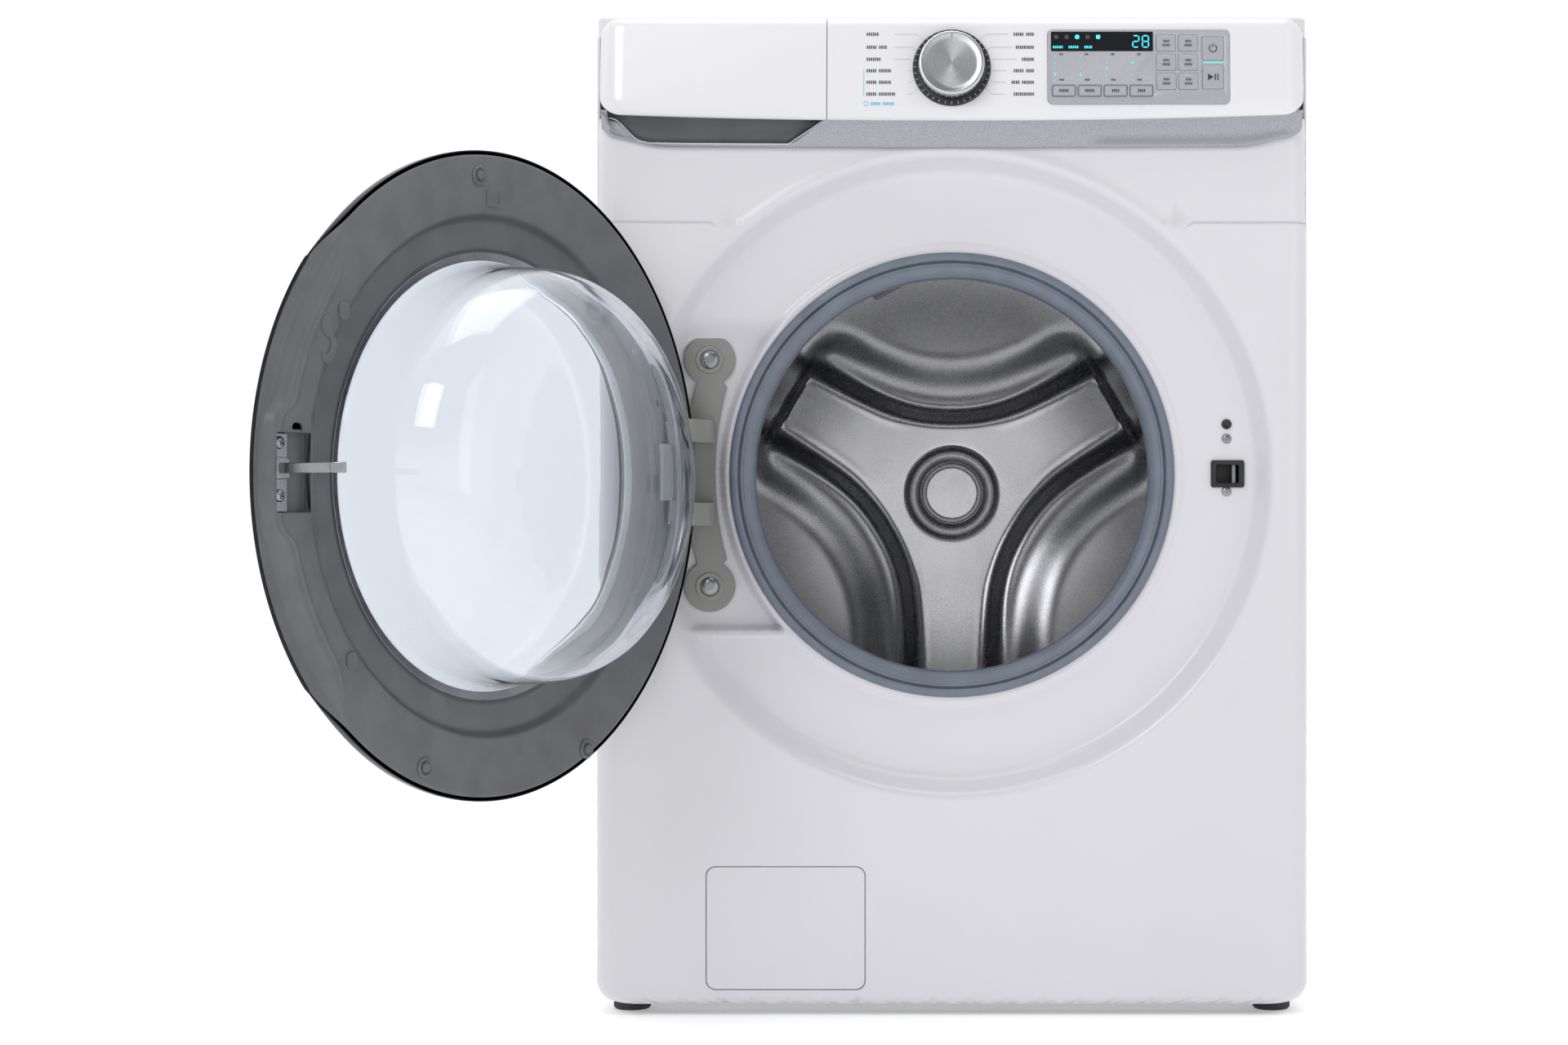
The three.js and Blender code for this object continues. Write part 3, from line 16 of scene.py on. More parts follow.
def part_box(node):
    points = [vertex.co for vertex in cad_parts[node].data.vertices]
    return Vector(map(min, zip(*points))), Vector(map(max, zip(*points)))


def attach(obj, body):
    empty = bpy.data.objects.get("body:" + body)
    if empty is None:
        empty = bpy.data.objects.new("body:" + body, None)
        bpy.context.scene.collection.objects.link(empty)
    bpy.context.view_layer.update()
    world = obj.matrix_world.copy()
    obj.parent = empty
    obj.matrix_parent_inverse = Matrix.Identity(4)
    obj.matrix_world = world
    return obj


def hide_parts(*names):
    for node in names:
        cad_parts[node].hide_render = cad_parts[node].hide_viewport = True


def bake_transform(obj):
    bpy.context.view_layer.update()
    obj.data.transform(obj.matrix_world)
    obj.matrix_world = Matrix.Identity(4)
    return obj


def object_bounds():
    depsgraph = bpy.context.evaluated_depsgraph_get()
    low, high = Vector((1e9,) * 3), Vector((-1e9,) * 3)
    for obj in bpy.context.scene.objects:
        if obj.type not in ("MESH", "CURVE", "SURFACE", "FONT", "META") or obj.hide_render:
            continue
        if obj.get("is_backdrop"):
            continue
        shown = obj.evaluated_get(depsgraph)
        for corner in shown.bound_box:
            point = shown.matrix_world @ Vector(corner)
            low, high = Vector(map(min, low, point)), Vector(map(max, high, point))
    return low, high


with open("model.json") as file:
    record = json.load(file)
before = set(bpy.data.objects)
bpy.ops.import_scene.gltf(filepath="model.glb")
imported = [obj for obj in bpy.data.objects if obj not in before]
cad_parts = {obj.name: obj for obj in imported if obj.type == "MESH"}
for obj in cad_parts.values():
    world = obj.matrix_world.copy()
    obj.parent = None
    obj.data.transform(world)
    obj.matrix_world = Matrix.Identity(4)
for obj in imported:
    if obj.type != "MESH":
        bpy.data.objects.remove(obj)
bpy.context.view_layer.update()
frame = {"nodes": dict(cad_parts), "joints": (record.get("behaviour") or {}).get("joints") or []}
scene = bpy.context.scene
scene.view_settings.view_transform = "Standard"

# ---------------------------------------------------------------- places

sheet_low, sheet_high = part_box("front_frame")
floor_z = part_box("foot_front_left")[0].z
CABINET = (Matrix.Translation(((sheet_low.x + sheet_high.x) / 2, sheet_low.y, floor_z))
           @ Matrix.Scale(0.001, 4))


def moved(x, y, z):
    return Matrix.Translation((x, y, z))


def joint_place(name):
    """Where a joint of the record sits, in cabinet millimetres."""
    joint = next(j for j in frame["joints"] if j["name"] == name)
    return CABINET.inverted() @ Vector(joint["pos_m"])


FACE_TILT = math.radians(7)
CONSOLE_FACE = CABINET @ moved(0, -26, 868) @ Matrix.Rotation(-FACE_TILT, 4, "X")
TUB_PIVOT = 90
WASHER = (CABINET @ moved(0, TUB_PIVOT, 519) @ Matrix.Rotation(math.radians(-1.5), 4, "X")
          @ moved(0, -TUB_PIVOT, 0))
hinge = joint_place("door_hinge")
DOOR = (CABINET @ moved(hinge.x, hinge.y, 0) @ Matrix.Rotation(math.radians(-123), 4, "Z")
        @ moved(-hinge.x, -hinge.y, 0))

# ---------------------------------------------------------------- camera

camera_data = bpy.data.cameras.new("camera")
camera_data.sensor_width = 36
camera_data.lens = 71.77
camera_data.shift_x = -0.107
camera_data.clip_end = 60
camera = bpy.data.objects.new("camera", camera_data)
camera.location = CABINET @ Vector((0, -3000, 473))
camera.rotation_euler = (math.pi / 2, 0, 0)
scene.collection.objects.link(camera)
scene.camera = camera

# ---------------------------------------------------------------- materials


def linear(hex_colour):
    """An sRGB hex colour as linear RGBA."""
    channels = [int(hex_colour[i:i + 2], 16) / 255 for i in (1, 3, 5)]
    return [c / 12.92 if c <= 0.04045 else ((c + 0.055) / 1.055) ** 2.4 for c in channels] + [1]


def add(tree, kind, settings=None, values=None, links=None):
    """Adds a node: its settings, the values of its sockets, and what is linked into them."""
    node = tree.nodes.new(kind)
    for key, value in (settings or {}).items():
        setattr(node, key, value)
    for key, value in (values or {}).items():
        node.inputs[key].default_value = value
    for key, socket in (links or {}).items():
        tree.links.new(socket, node.inputs[key])
    return node


def material(name, colour, roughness, metallic=0.0, **sockets):
    """A new material with one Principled shader. Returns it with its tree and shader."""
    made_of = bpy.data.materials.new(name)
    made_of.use_nodes = True
    tree = made_of.node_tree
    shader = tree.nodes["Principled BSDF"]
    values = {"Base Color": linear(colour), "Roughness": roughness, "Metallic": metallic}
    values.update({key.replace("_", " "): value for key, value in sockets.items()})
    for key, value in values.items():
        shader.inputs[key].default_value = value
    return made_of, tree, shader


def place_of(tree, stretch=(1, 1, 1), coordinates="Object"):
    """Coordinates on the piece, in millimetres, stretched along each axis."""
    source = add(tree, "ShaderNodeTexCoord")
    mapping = add(tree, "ShaderNodeMapping", values={"Scale": [1000 * s for s in stretch]},
                  links={"Vector": source.outputs[coordinates]})
    return mapping.outputs["Vector"]


def noise(tree, where, size_mm, detail=2.0, roughness=0.5):
    return add(tree, "ShaderNodeTexNoise", values={"Scale": 1 / size_mm, "Detail": detail,
               "Roughness": roughness}, links={"Vector": where}).outputs["Fac"]


def between(tree, factor, low, high, start=0.35, stop=0.65):
    """A number that goes from low to high as factor goes from start to stop."""
    return add(tree, "ShaderNodeMapRange", values={"From Min": start, "From Max": stop,
               "To Min": low, "To Max": high}, links={"Value": factor}).outputs["Result"]


def tinted(tree, factor, first, second):
    """A colour between two sRGB hex colours."""
    mix = add(tree, "ShaderNodeMix", {"data_type": "RGBA"}, {6: linear(first), 7: linear(second)},
              {0: factor})
    return mix.outputs[2]


def bumped(tree, shader, height, depth_mm, strength=1.0):
    bump = add(tree, "ShaderNodeBump", values={"Strength": strength, "Distance": depth_mm / 1000},
               links={"Height": height})
    tree.links.new(bump.outputs["Normal"], shader.inputs["Normal"])


def painted(name, colour, shade, roughness, peel_mm, depth_mm, coat=0.0, **sockets):
    """Smooth paint over metal or plastic: faint orange peel and a slow drift of tone."""
    made_of, tree, shader = material(name, colour, roughness, Coat_Weight=coat,
                                     Coat_Roughness=0.08, **sockets)
    where = place_of(tree)
    tone = between(tree, noise(tree, where, 180, 1), 0, 1)
    tree.links.new(tinted(tree, tone, colour, shade), shader.inputs["Base Color"])
    tree.links.new(between(tree, noise(tree, where, 45, 3), roughness * 0.95, roughness * 1.05),
                   shader.inputs["Roughness"])
    bumped(tree, shader, noise(tree, where, peel_mm, 2), depth_mm)
    return made_of


def moulded(name, colour, shade, roughness, grain_mm, depth_mm, coat=0.0):
    """Injection-moulded plastic: an etched grain in the mould, and slightly shinier wear."""
    made_of, tree, shader = material(name, colour, roughness, Coat_Weight=coat)
    where = place_of(tree)
    patch = noise(tree, where, 30, 4)
    tree.links.new(tinted(tree, between(tree, patch, 0, 1), colour, shade),
                   shader.inputs["Base Color"])
    tree.links.new(between(tree, patch, roughness * 0.88, roughness * 1.1),
                   shader.inputs["Roughness"])
    grain = add(tree, "ShaderNodeTexVoronoi", {"feature": "SMOOTH_F1"},
                {"Scale": 1 / grain_mm, "Smoothness": 0.6}, {"Vector": where})
    bumped(tree, shader, grain.outputs["Distance"], depth_mm)
    return made_of


def metal(name, colour, shade, roughness, streak, streak_mm, depth_mm, **sockets):
    """Bare metal: streaks drawn out along one axis and cloudy wear between them."""
    made_of, tree, shader = material(name, colour, roughness, 1.0, **sockets)
    where = place_of(tree)
    drawn = place_of(tree, streak)
    cloud = noise(tree, where, 60, 4)
    lines = noise(tree, drawn, streak_mm, 3, 0.6)
    tree.links.new(tinted(tree, between(tree, cloud, 0, 1), colour, shade),
                   shader.inputs["Base Color"])
    tree.links.new(between(tree, lines, roughness * 0.8, roughness * 1.25, 0.3, 0.7),
                   shader.inputs["Roughness"])
    bumped(tree, shader, lines, depth_mm)
    return made_of


# Baked white enamel on steel: glossy, with the faint ripple that spraying leaves. The real
# ripple is about 1 mm across, drawn at 3 mm so that it shows.
white_enamel = painted("white_enamel_on_steel", "#DAD9DE", "#D8D7DC", 0.3, 3.0, 0.003, 0.2)
# White ABS, moulded in a polished tool: a little warmer and glossier than the enamel.
white_abs = painted("polished_white_abs", "#E4E4E7", "#E2E2E5", 0.22, 5.0, 0.003, 0.25)
# Hot-dip galvanised steel: dull grey zinc crystals, 12 mm across.
galvanised, tree, shader = material("galvanised_steel", "#B4B8BB", 0.42, 0.9)
spangle = add(tree, "ShaderNodeTexVoronoi", values={"Scale": 1 / 12},
              links={"Vector": place_of(tree)})
crystal = add(tree, "ShaderNodeSeparateColor", links={"Color": spangle.outputs["Color"]})
tree.links.new(tinted(tree, crystal.outputs["Red"], "#B0B4B7", "#BCC0C3"),
               shader.inputs["Base Color"])
tree.links.new(between(tree, crystal.outputs["Green"], 0.4, 0.48, 0, 1),
               shader.inputs["Roughness"])
# Silver lacquer on the trim below the console: metal flakes 0.15 mm across, drawn at 0.7 mm.
silver_lacquer, tree, shader = material("silver_lacquer_on_abs", "#A3A4A9", 0.34, 0.75,
                                        Coat_Weight=0.35)
flakes = noise(tree, place_of(tree), 0.7, 1)
tree.links.new(tinted(tree, between(tree, flakes, 0, 1), "#8E8F95", "#ABACB2"),
               shader.inputs["Base Color"])
bumped(tree, shader, flakes, 0.01)
# Lacquered plate of the control panel: paler and flatter than the trim.
panel_lacquer, tree, shader = material("pale_silver_lacquer", "#B4B5BA", 0.4, 0.35)
flakes = noise(tree, place_of(tree), 0.6, 1)
tree.links.new(tinted(tree, between(tree, flakes, 0, 1), "#ABACB1", "#B9BABF"),
               shader.inputs["Base Color"])
bumped(tree, shader, flakes, 0.004)
key_lacquer, tree, shader = material("key_silver_lacquer", "#B6B7BC", 0.36, 0.35)
flakes = noise(tree, place_of(tree), 0.6, 1)
tree.links.new(tinted(tree, between(tree, flakes, 0, 1), "#AEAFB4", "#BCBDC2"),
               shader.inputs["Base Color"])
bumped(tree, shader, flakes, 0.004)
# Polypropylene of the door's inner ring and of the drawer's handle: fine etched grain.
door_plastic = moulded("grey_grained_polypropylene", "#626367", "#5B5C60", 0.42, 0.7, 0.012)
handle_plastic = moulded("dark_grey_polypropylene", "#54555A", "#4C4D52", 0.4, 0.8, 0.012)
inner_plastic = moulded("natural_polypropylene", "#D6DADF", "#CCD1D7", 0.38, 1.2, 0.01)
tub_plastic = moulded("filled_polypropylene", "#C4C7C8", "#B7BBBC", 0.55, 2.5, 0.05)
black_plastic = moulded("black_polyamide", "#17181A", "#202123", 0.38, 0.6, 0.01)
# High-gloss black acrylic of the door's outer ring.
black_gloss = painted("black_gloss_acrylic", "#0A0B0C", "#0E0F11", 0.16, 8.0, 0.002, 0.1,
                      Specular_IOR_Level=0.22)
# EPDM rubber: blue-grey, satin, with a bloom that lightens it in patches.
gasket_rubber = moulded("blue_grey_epdm_rubber", "#707A87", "#68717E", 0.42, 1.6, 0.008)
foot_rubber = moulded("dark_grey_rubber", "#47484C", "#3C3D41", 0.7, 1.0, 0.04)
# Deep-drawn stainless steel, belt-polished: soft streaks down the machine's axis.
drum_steel = metal("polished_stainless_steel", "#D0D0D2", "#C4C4C7", 0.25, (1, 0.25, 1), 0.9,
                   0.003)
cap_steel = metal("satin_stainless_steel", "#D6D6D8", "#CBCBCE", 0.26, (1, 0.2, 1), 0.6, 0.003)
zinc_steel = metal("zinc_plated_steel", "#A7A9AC", "#8F9194", 0.28, (1, 1, 0.3), 0.8, 0.01)
bright_steel = metal("machined_steel", "#9B9DA0", "#86888B", 0.3, (0.2, 1, 1), 0.7, 0.01)
chrome = metal("bright_chrome_plating", "#DADBDD", "#CFD0D3", 0.08, (1, 1, 1), 2.0, 0.001)
# Zinc-alloy casting with grey paint, for the hinge.
hinge_paint = painted("grey_paint_on_zinc_casting", "#93938F", "#8A8A87", 0.36, 2.2, 0.012)
# Concrete ballast: sand grains and air holes.
concrete, tree, shader = material("cast_concrete", "#9B9890", 0.9)
where = place_of(tree)
sand = noise(tree, where, 2.5, 6, 0.7)
tree.links.new(tinted(tree, between(tree, sand, 0, 1, 0.3, 0.7), "#86837B", "#ABA8A0"),
               shader.inputs["Base Color"])
bumped(tree, shader, sand, 0.4)
# Enamelled copper wire, 1 mm thick, wound round the stator's teeth.
copper, tree, shader = material("enamelled_copper_winding", "#8C4A2A", 0.34, 0.7)
turns = add(tree, "ShaderNodeTexWave", {"bands_direction": "Y"},
            {"Scale": 0.5, "Distortion": 1.5}, {"Vector": place_of(tree)})
tree.links.new(tinted(tree, turns.outputs["Fac"], "#6E3519", "#A8623A"),
               shader.inputs["Base Color"])
bumped(tree, shader, turns.outputs["Fac"], 0.4)
# Solder-masked circuit board.
board_green, tree, shader = material("green_circuit_board", "#1F5B38", 0.35)
tracks = add(tree, "ShaderNodeTexBrick", values={"Scale": 0.12, "Mortar Size": 0.06,
             "Color1": linear("#1C5534"), "Color2": linear("#226540"),
             "Mortar": linear("#3B8155")}, links={"Vector": place_of(tree)})
tree.links.new(tracks.outputs["Color"], shader.inputs["Base Color"])
# Turned aluminium knob: its brush marks run round it, 0.2 mm apart, drawn at 0.5 mm.
spun_aluminium, tree, shader = material("spun_aluminium", "#D2D3D6", 0.26, 1.0, Anisotropic=0.75)
rings = noise(tree, place_of(tree, (0.004, 2, 1), "UV"), 0.5, 2, 0.6)
tree.links.new(tinted(tree, between(tree, rings, 0, 1, 0.3, 0.7), "#BFC0C4", "#DDDEE1"),
               shader.inputs["Base Color"])
tangent = add(tree, "ShaderNodeTangent", {"direction_type": "UV_MAP", "uv_map": "round"})
tree.links.new(tangent.outputs["Tangent"], shader.inputs["Tangent"])
# Borosilicate bowl of the door: clear, faintly blue-grey where it is thick.
bowl_glass, tree, shader = material("borosilicate_glass", "#F3F6FA", 0.0, IOR=1.47,
                                    Transmission_Weight=1.0)
swirl = noise(tree, place_of(tree), 70, 1)
bumped(tree, shader, swirl, 0.5, 0.2)
# Outer window of the door: clear acrylic with a cool tint.
window_acrylic, tree, shader = material("clear_acrylic", "#F0F3F9", 0.02, IOR=1.49,
                                        Transmission_Weight=1.0)
bumped(tree, shader, noise(tree, place_of(tree), 120, 1), 0.5, 0.2)
# Smoked acrylic over the display, and its lamps.
display_black = painted("smoked_acrylic", "#0B0D11", "#0E1015", 0.08, 9.0, 0.001, 0.5)
cyan_lamp, tree, shader = material("cyan_lamp", "#35C6DC", 0.3, Emission_Color=linear("#39CFE6"),
                                   Emission_Strength=0.9)
flicker = noise(tree, place_of(tree), 1.5, 1)
tree.links.new(tinted(tree, flicker, "#30BCD3", "#5AD9EA"), shader.inputs["Base Color"])
dim_lamp, tree, shader = material("unlit_lamp", "#9FC6D2", 0.3)
tree.links.new(tinted(tree, noise(tree, place_of(tree), 1.5, 1), "#8FB9C6", "#B2D3DC"),
               shader.inputs["Base Color"])
grey_ink = painted("grey_printing_ink", "#3C3D42", "#46474C", 0.5, 1.0, 0.004)
pale_ink = painted("pale_grey_printing_ink", "#8B8C91", "#96979C", 0.5, 1.0, 0.004)
blue_ink = painted("blue_printing_ink", "#3BB3D6", "#4ABCDD", 0.5, 1.0, 0.004)
dark_ink = painted("dark_printing_ink", "#2E2F33", "#36373B", 0.5, 1.0, 0.004)

# ---------------------------------------------------------------- shapes

riders = []


def made(name, shape, place, finish, body, crease=35, normals=None):
    """A piece from its points and faces. It rides on its body once all pieces are made.

    A cutter, or a piece that spans two bodies, has None for its body and rides on none.
    """
    points, faces = shape
    mesh = bpy.data.meshes.new(name)
    mesh.from_pydata([place @ Vector(p) for p in points], [], faces)
    if normals is None:
        work = bmesh.new()
        work.from_mesh(mesh)
        bmesh.ops.remove_doubles(work, verts=work.verts, dist=2e-6)
        bmesh.ops.recalc_face_normals(work, faces=work.faces)
        work.to_mesh(mesh)
        work.free()
    mesh.shade_smooth()
    mesh.set_sharp_from_angle(angle=math.radians(crease))
    if normals is not None:
        turn = place.to_3x3().normalized()
        mesh.normals_split_custom_set([turn @ Vector(n) for n in normals])
    mesh.materials.append(finish)
    obj = bpy.data.objects.new(name, mesh)
    scene.collection.objects.link(obj)
    riders.append((obj, body))
    return obj


def edged(obj, width, segments=3, angle=30):
    """Rounds a piece's edges to a radius in millimetres."""
    bevel = obj.modifiers.new("edges", "BEVEL")
    bevel.width = width / 1000
    bevel.segments = segments
    bevel.limit_method = "ANGLE"
    bevel.angle_limit = math.radians(angle)
    bevel.harden_normals = False
    return obj


def applied(obj):
    """The piece with its modifiers made part of its mesh."""
    graph = bpy.context.evaluated_depsgraph_get()
    mesh = bpy.data.meshes.new_from_object(obj.evaluated_get(graph))
    obj.modifiers.clear()
    obj.data = mesh
    return obj


def carved(obj, cutters, operation="DIFFERENCE"):
    """Cuts the cutters out of a piece, or adds them to it, and removes them."""
    for cutter in cutters:
        boolean = obj.modifiers.new("cut", "BOOLEAN")
        boolean.operation = operation
        boolean.solver = "EXACT"
        boolean.object = cutter
    applied(obj)
    for cutter in cutters:
        riders[:] = [pair for pair in riders if pair[0] is not cutter]
        bpy.data.objects.remove(cutter)
    return obj


def rounded(corners, radius, steps=4, closed=True):
    """A polyline with its corners rounded. A corner's third number is its own radius."""
    count = len(corners)
    result = []
    for i, corner in enumerate(corners):
        here = Vector(corner[:2])
        own = corner[2] if len(corner) > 2 else radius
        if own <= 0 or (not closed and i in (0, count - 1)):
            result.append(tuple(here))
            continue
        before = Vector(corners[i - 1][:2]) - here
        after = Vector(corners[(i + 1) % count][:2]) - here
        reach = min(own, before.length * 0.48, after.length * 0.48)
        start = here + before.normalized() * reach
        end = here + after.normalized() * reach
        for k in range(steps + 1):
            t = k / steps
            point = start * (1 - t) ** 2 + here * 2 * t * (1 - t) + end * t * t
            result.append(tuple(point))
    return result


def round_rect(x0, x1, z0, z1, radius, steps=6):
    outline = []
    for cx, cz, start in ((x1 - radius, z0 + radius, -90), (x1 - radius, z1 - radius, 0),
                          (x0 + radius, z1 - radius, 90), (x0 + radius, z0 + radius, 180)):
        for k in range(steps + 1):
            angle = math.radians(start + 90 * k / steps)
            outline.append((cx + radius * math.cos(angle), cz + radius * math.sin(angle)))
    return outline


def turned(profile, steps=128, x=0.0, z=0.0):
    """A closed [radius, Y] profile turned round an axis along Y."""
    points, faces = [], []
    count = len(profile)
    for s in range(steps):
        angle = 2 * math.pi * s / steps
        for r, y in profile:
            points.append((x + r * math.sin(angle), y, z + r * math.cos(angle)))
    for s in range(steps):
        a, b = s * count, (s + 1) % steps * count
        for i in range(count):
            j = (i + 1) % count
            corners = [a + i, a + j, b + j, b + i]
            if profile[i][0] == 0 and profile[j][0] == 0:
                continue
            faces.append(corners)
    return points, faces


def prism(outline, y0, y1):
    """A closed outline on X and Z, drawn out along Y."""
    count = len(outline)
    points = [(x, y, z) for y in (y0, y1) for x, z in outline]
    faces = [list(range(count)), list(range(2 * count - 1, count - 1, -1))]
    faces += [[i, (i + 1) % count, count + (i + 1) % count, count + i] for i in range(count)]
    return points, faces


def box(x, y, z):
    return prism([(x[0], z[0]), (x[1], z[0]), (x[1], z[1]), (x[0], z[1])], y[0], y[1])


def along_z(outline, z0, z1):
    """A closed outline on X and Y, drawn out along Z."""
    points, faces = prism(outline, z0, z1)
    return [(x, y, z) for x, z, y in points], faces


def both(*shapes):
    points, faces = [], []
    for more_points, more_faces in shapes:
        start = len(points)
        points += list(more_points)
        faces += [[i + start for i in face] for face in more_faces]
    return points, faces


def swept(stations, closed_ends=True):
    """A skin through closed rings of equally many points."""
    count = len(stations[0])
    points = [p for ring in stations for p in ring]
    faces = []
    for s in range(len(stations) - 1):
        a, b = s * count, (s + 1) * count
        faces += [[a + i, a + (i + 1) % count, b + (i + 1) % count, b + i] for i in range(count)]
    if closed_ends:
        faces += [list(range(count)), list(range(len(points) - 1, len(points) - count - 1, -1))]
    return points, faces


def step(t):
    """Smooth step from 0 to 1, for numbers and arrays."""
    t = np.clip(t, 0.0, 1.0)
    return t * t * t * (t * (6 * t - 15) + 10)


def lerp(a, b, t):
    return a + (b - a) * t


def skin(surface, grid, tris, thickness, turned_over=False):
    """A sheet of that thickness whose face follows surface(a, b), with exact normals.

    grid holds the (a, b) of each point and tris the triangles or quads between them.
    """
    grid = np.asarray(grid, dtype=float)
    nudge = 0.05
    front = surface(grid[:, 0], grid[:, 1])
    da = surface(grid[:, 0] + nudge, grid[:, 1]) - surface(grid[:, 0] - nudge, grid[:, 1])
    db = surface(grid[:, 0], grid[:, 1] + nudge) - surface(grid[:, 0], grid[:, 1] - nudge)
    normal = np.cross(da, db)
    normal /= np.maximum(np.linalg.norm(normal, axis=1), 1e-12)[:, None]
    if turned_over:
        normal = -normal
    a, b, c = (front[[t[i] for t in tris]] for i in range(3))
    facing = np.cross(b - a, c - a)
    agree = (facing * normal[[t[0] for t in tris]]).sum()
    if agree < 0:
        tris = [list(reversed(t)) for t in tris]
    back = front - normal * thickness
    count = len(front)
    points = [tuple(p) for p in np.vstack([front, back])]
    faces = [list(t) for t in tris] + [[i + count for i in reversed(t)] for t in tris]
    normals = [normal[i] for t in tris for i in t] + [-normal[i] for t in tris
                                                      for i in reversed(t)]
    edges = {}
    for t in tris:
        for i, j in zip(t, list(t[1:]) + [t[0]]):
            if (j, i) in edges:
                del edges[(j, i)]
            else:
                edges[(i, j)] = True
    for i, j in edges:
        face = [j, i, i + count, j + count]
        side = np.cross(np.array(points[i]) - points[j], np.array(points[i + count]) - points[j])
        side /= max(np.linalg.norm(side), 1e-12)
        faces.append(face)
        normals += [side] * 4
    return (points, faces), normals


# ---------------------------------------------------------------- things that repeat


def repeated(name, build, sizes, place, finish, body, seed=0):
    """Runs a Geometry Nodes tree with named inputs and keeps its result as a plain mesh.

    build(tree, inputs) returns the geometry socket of the instances.
    """
    tree = bpy.data.node_groups.new(name, "GeometryNodeTree")
    tree.interface.new_socket("Geometry", in_out="OUTPUT", socket_type="NodeSocketGeometry")
    kinds = {int: "NodeSocketInt", float: "NodeSocketFloat", tuple: "NodeSocketVector"}
    sockets = {}
    for key, value in {**sizes, "Seed": seed}.items():
        if isinstance(value, bpy.types.Object):
            kind = "NodeSocketObject"
        else:
            kind = kinds[type(value)]
        sockets[key] = tree.interface.new_socket(key, in_out="INPUT", socket_type=kind)
    inputs = add(tree, "NodeGroupInput").outputs
    grown = build(tree, inputs)
    real = add(tree, "GeometryNodeRealizeInstances", links={0: grown})
    painted_on = add(tree, "GeometryNodeSetMaterial", values={"Material": finish},
                     links={"Geometry": real.outputs[0]})
    add(tree, "NodeGroupOutput", links={0: painted_on.outputs[0]})
    host = bpy.data.objects.new(name, bpy.data.meshes.new(name))
    scene.collection.objects.link(host)
    grower = host.modifiers.new("grow", "NODES")
    grower.node_group = tree
    for key, value in {**sizes, "Seed": seed}.items():
        grower[sockets[key].identifier] = value
    graph = bpy.context.evaluated_depsgraph_get()
    mesh = bpy.data.meshes.new_from_object(host.evaluated_get(graph))
    host.modifiers.clear()
    host.data = mesh
    mesh.transform(place)
    mesh.shade_smooth()
    mesh.set_sharp_from_angle(angle=math.radians(40))
    riders.append((host, body))
    return host


def spots(tree, inputs, socket_count):
    """Points named by vector inputs Spot 1, Spot 2 and so on."""
    parts = add(tree, "GeometryNodeJoinGeometry")
    for i in range(socket_count):
        point = add(tree, "GeometryNodePoints", values={"Count": 1},
                    links={"Position": inputs[f"Spot {i + 1}"]})
        tree.links.new(point.outputs[0], parts.inputs[0])
    return parts.outputs[0]


def screw_head(radius, height, recess):
    """A cross-recessed screw head that faces -Y, in millimetres round the origin."""
    head = turned([(0, 0), (radius, 0), (radius, -height * 0.35), (radius * 0.82, -height * 0.8),
                   (radius * 0.45, -height), (0, -height)], 20)
    obj = made("screw", head, Matrix.Identity(4), zinc_steel, None, 25)
    arm, wide = radius * 0.52, radius * 0.13
    cross = [made("cross", box((-a, a), (-height - 1, -height + recess), (-b, b)),
                  Matrix.Identity(4), zinc_steel, None) for a, b in ((arm, wide), (wide, arm))]
    carved(obj, cross)
    riders[:] = [pair for pair in riders if pair[0] is not obj]
    return obj


def screws(name, places, place, finish, body, radius=4.0, height=2.0, recess=1.2, turn=0.0):
    """Screw heads at the given places, all facing -Y of the place matrix."""
    head = screw_head(radius, height, recess)

    def build(tree, inputs):
        where = spots(tree, inputs, len(places))
        item = add(tree, "GeometryNodeObjectInfo", links={"Object": inputs["Screw"]})
        put = add(tree, "GeometryNodeInstanceOnPoints", values={"Rotation": (0, turn, 0)},
                  links={"Points": where, "Instance": item.outputs["Geometry"]})
        return put.outputs[0]

    sizes = {"Screw": head}
    sizes.update({f"Spot {i + 1}": tuple(float(v) for v in p) for i, p in enumerate(places)})
    done = repeated(name, build, sizes, place, finish, body)
    bpy.data.objects.remove(head)
    return done


def row_of_bars(tree, inputs):
    """Small blocks along a line."""
    line = add(tree, "GeometryNodeMeshLine", links={"Count": inputs["Count"],
               "Start Location": inputs["Start"], "Offset": inputs["Pitch"]})
    bar = add(tree, "GeometryNodeMeshCube", links={"Size": inputs["Bar"]})
    put = add(tree, "GeometryNodeInstanceOnPoints", links={"Points": line.outputs[0],
              "Instance": bar.outputs[0]})
    return put.outputs[0]


def ring_of_bars(tree, inputs):
    """Small blocks round a circle in the X-Z plane, each turned to face its middle."""
    circle = add(tree, "GeometryNodeMeshCircle", links={"Vertices": inputs["Count"],
                 "Radius": inputs["Radius"]})
    upright = add(tree, "GeometryNodeTransform", values={"Rotation": (math.pi / 2, 0, 0)},
                  links={"Geometry": circle.outputs[0], "Translation": inputs["Middle"]})
    from_middle = add(tree, "ShaderNodeVectorMath", {"operation": "SUBTRACT"},
                      links={0: add(tree, "GeometryNodeInputPosition").outputs[0],
                             1: inputs["Middle"]})
    facing = add(tree, "FunctionNodeAlignRotationToVector", {"axis": "X"},
                 links={"Vector": from_middle.outputs[0]})
    bar = add(tree, "GeometryNodeMeshCube", links={"Size": inputs["Bar"]})
    put = add(tree, "GeometryNodeInstanceOnPoints", links={"Points": upright.outputs[0],
              "Instance": bar.outputs[0], "Rotation": facing.outputs[0]})
    return put.outputs[0]


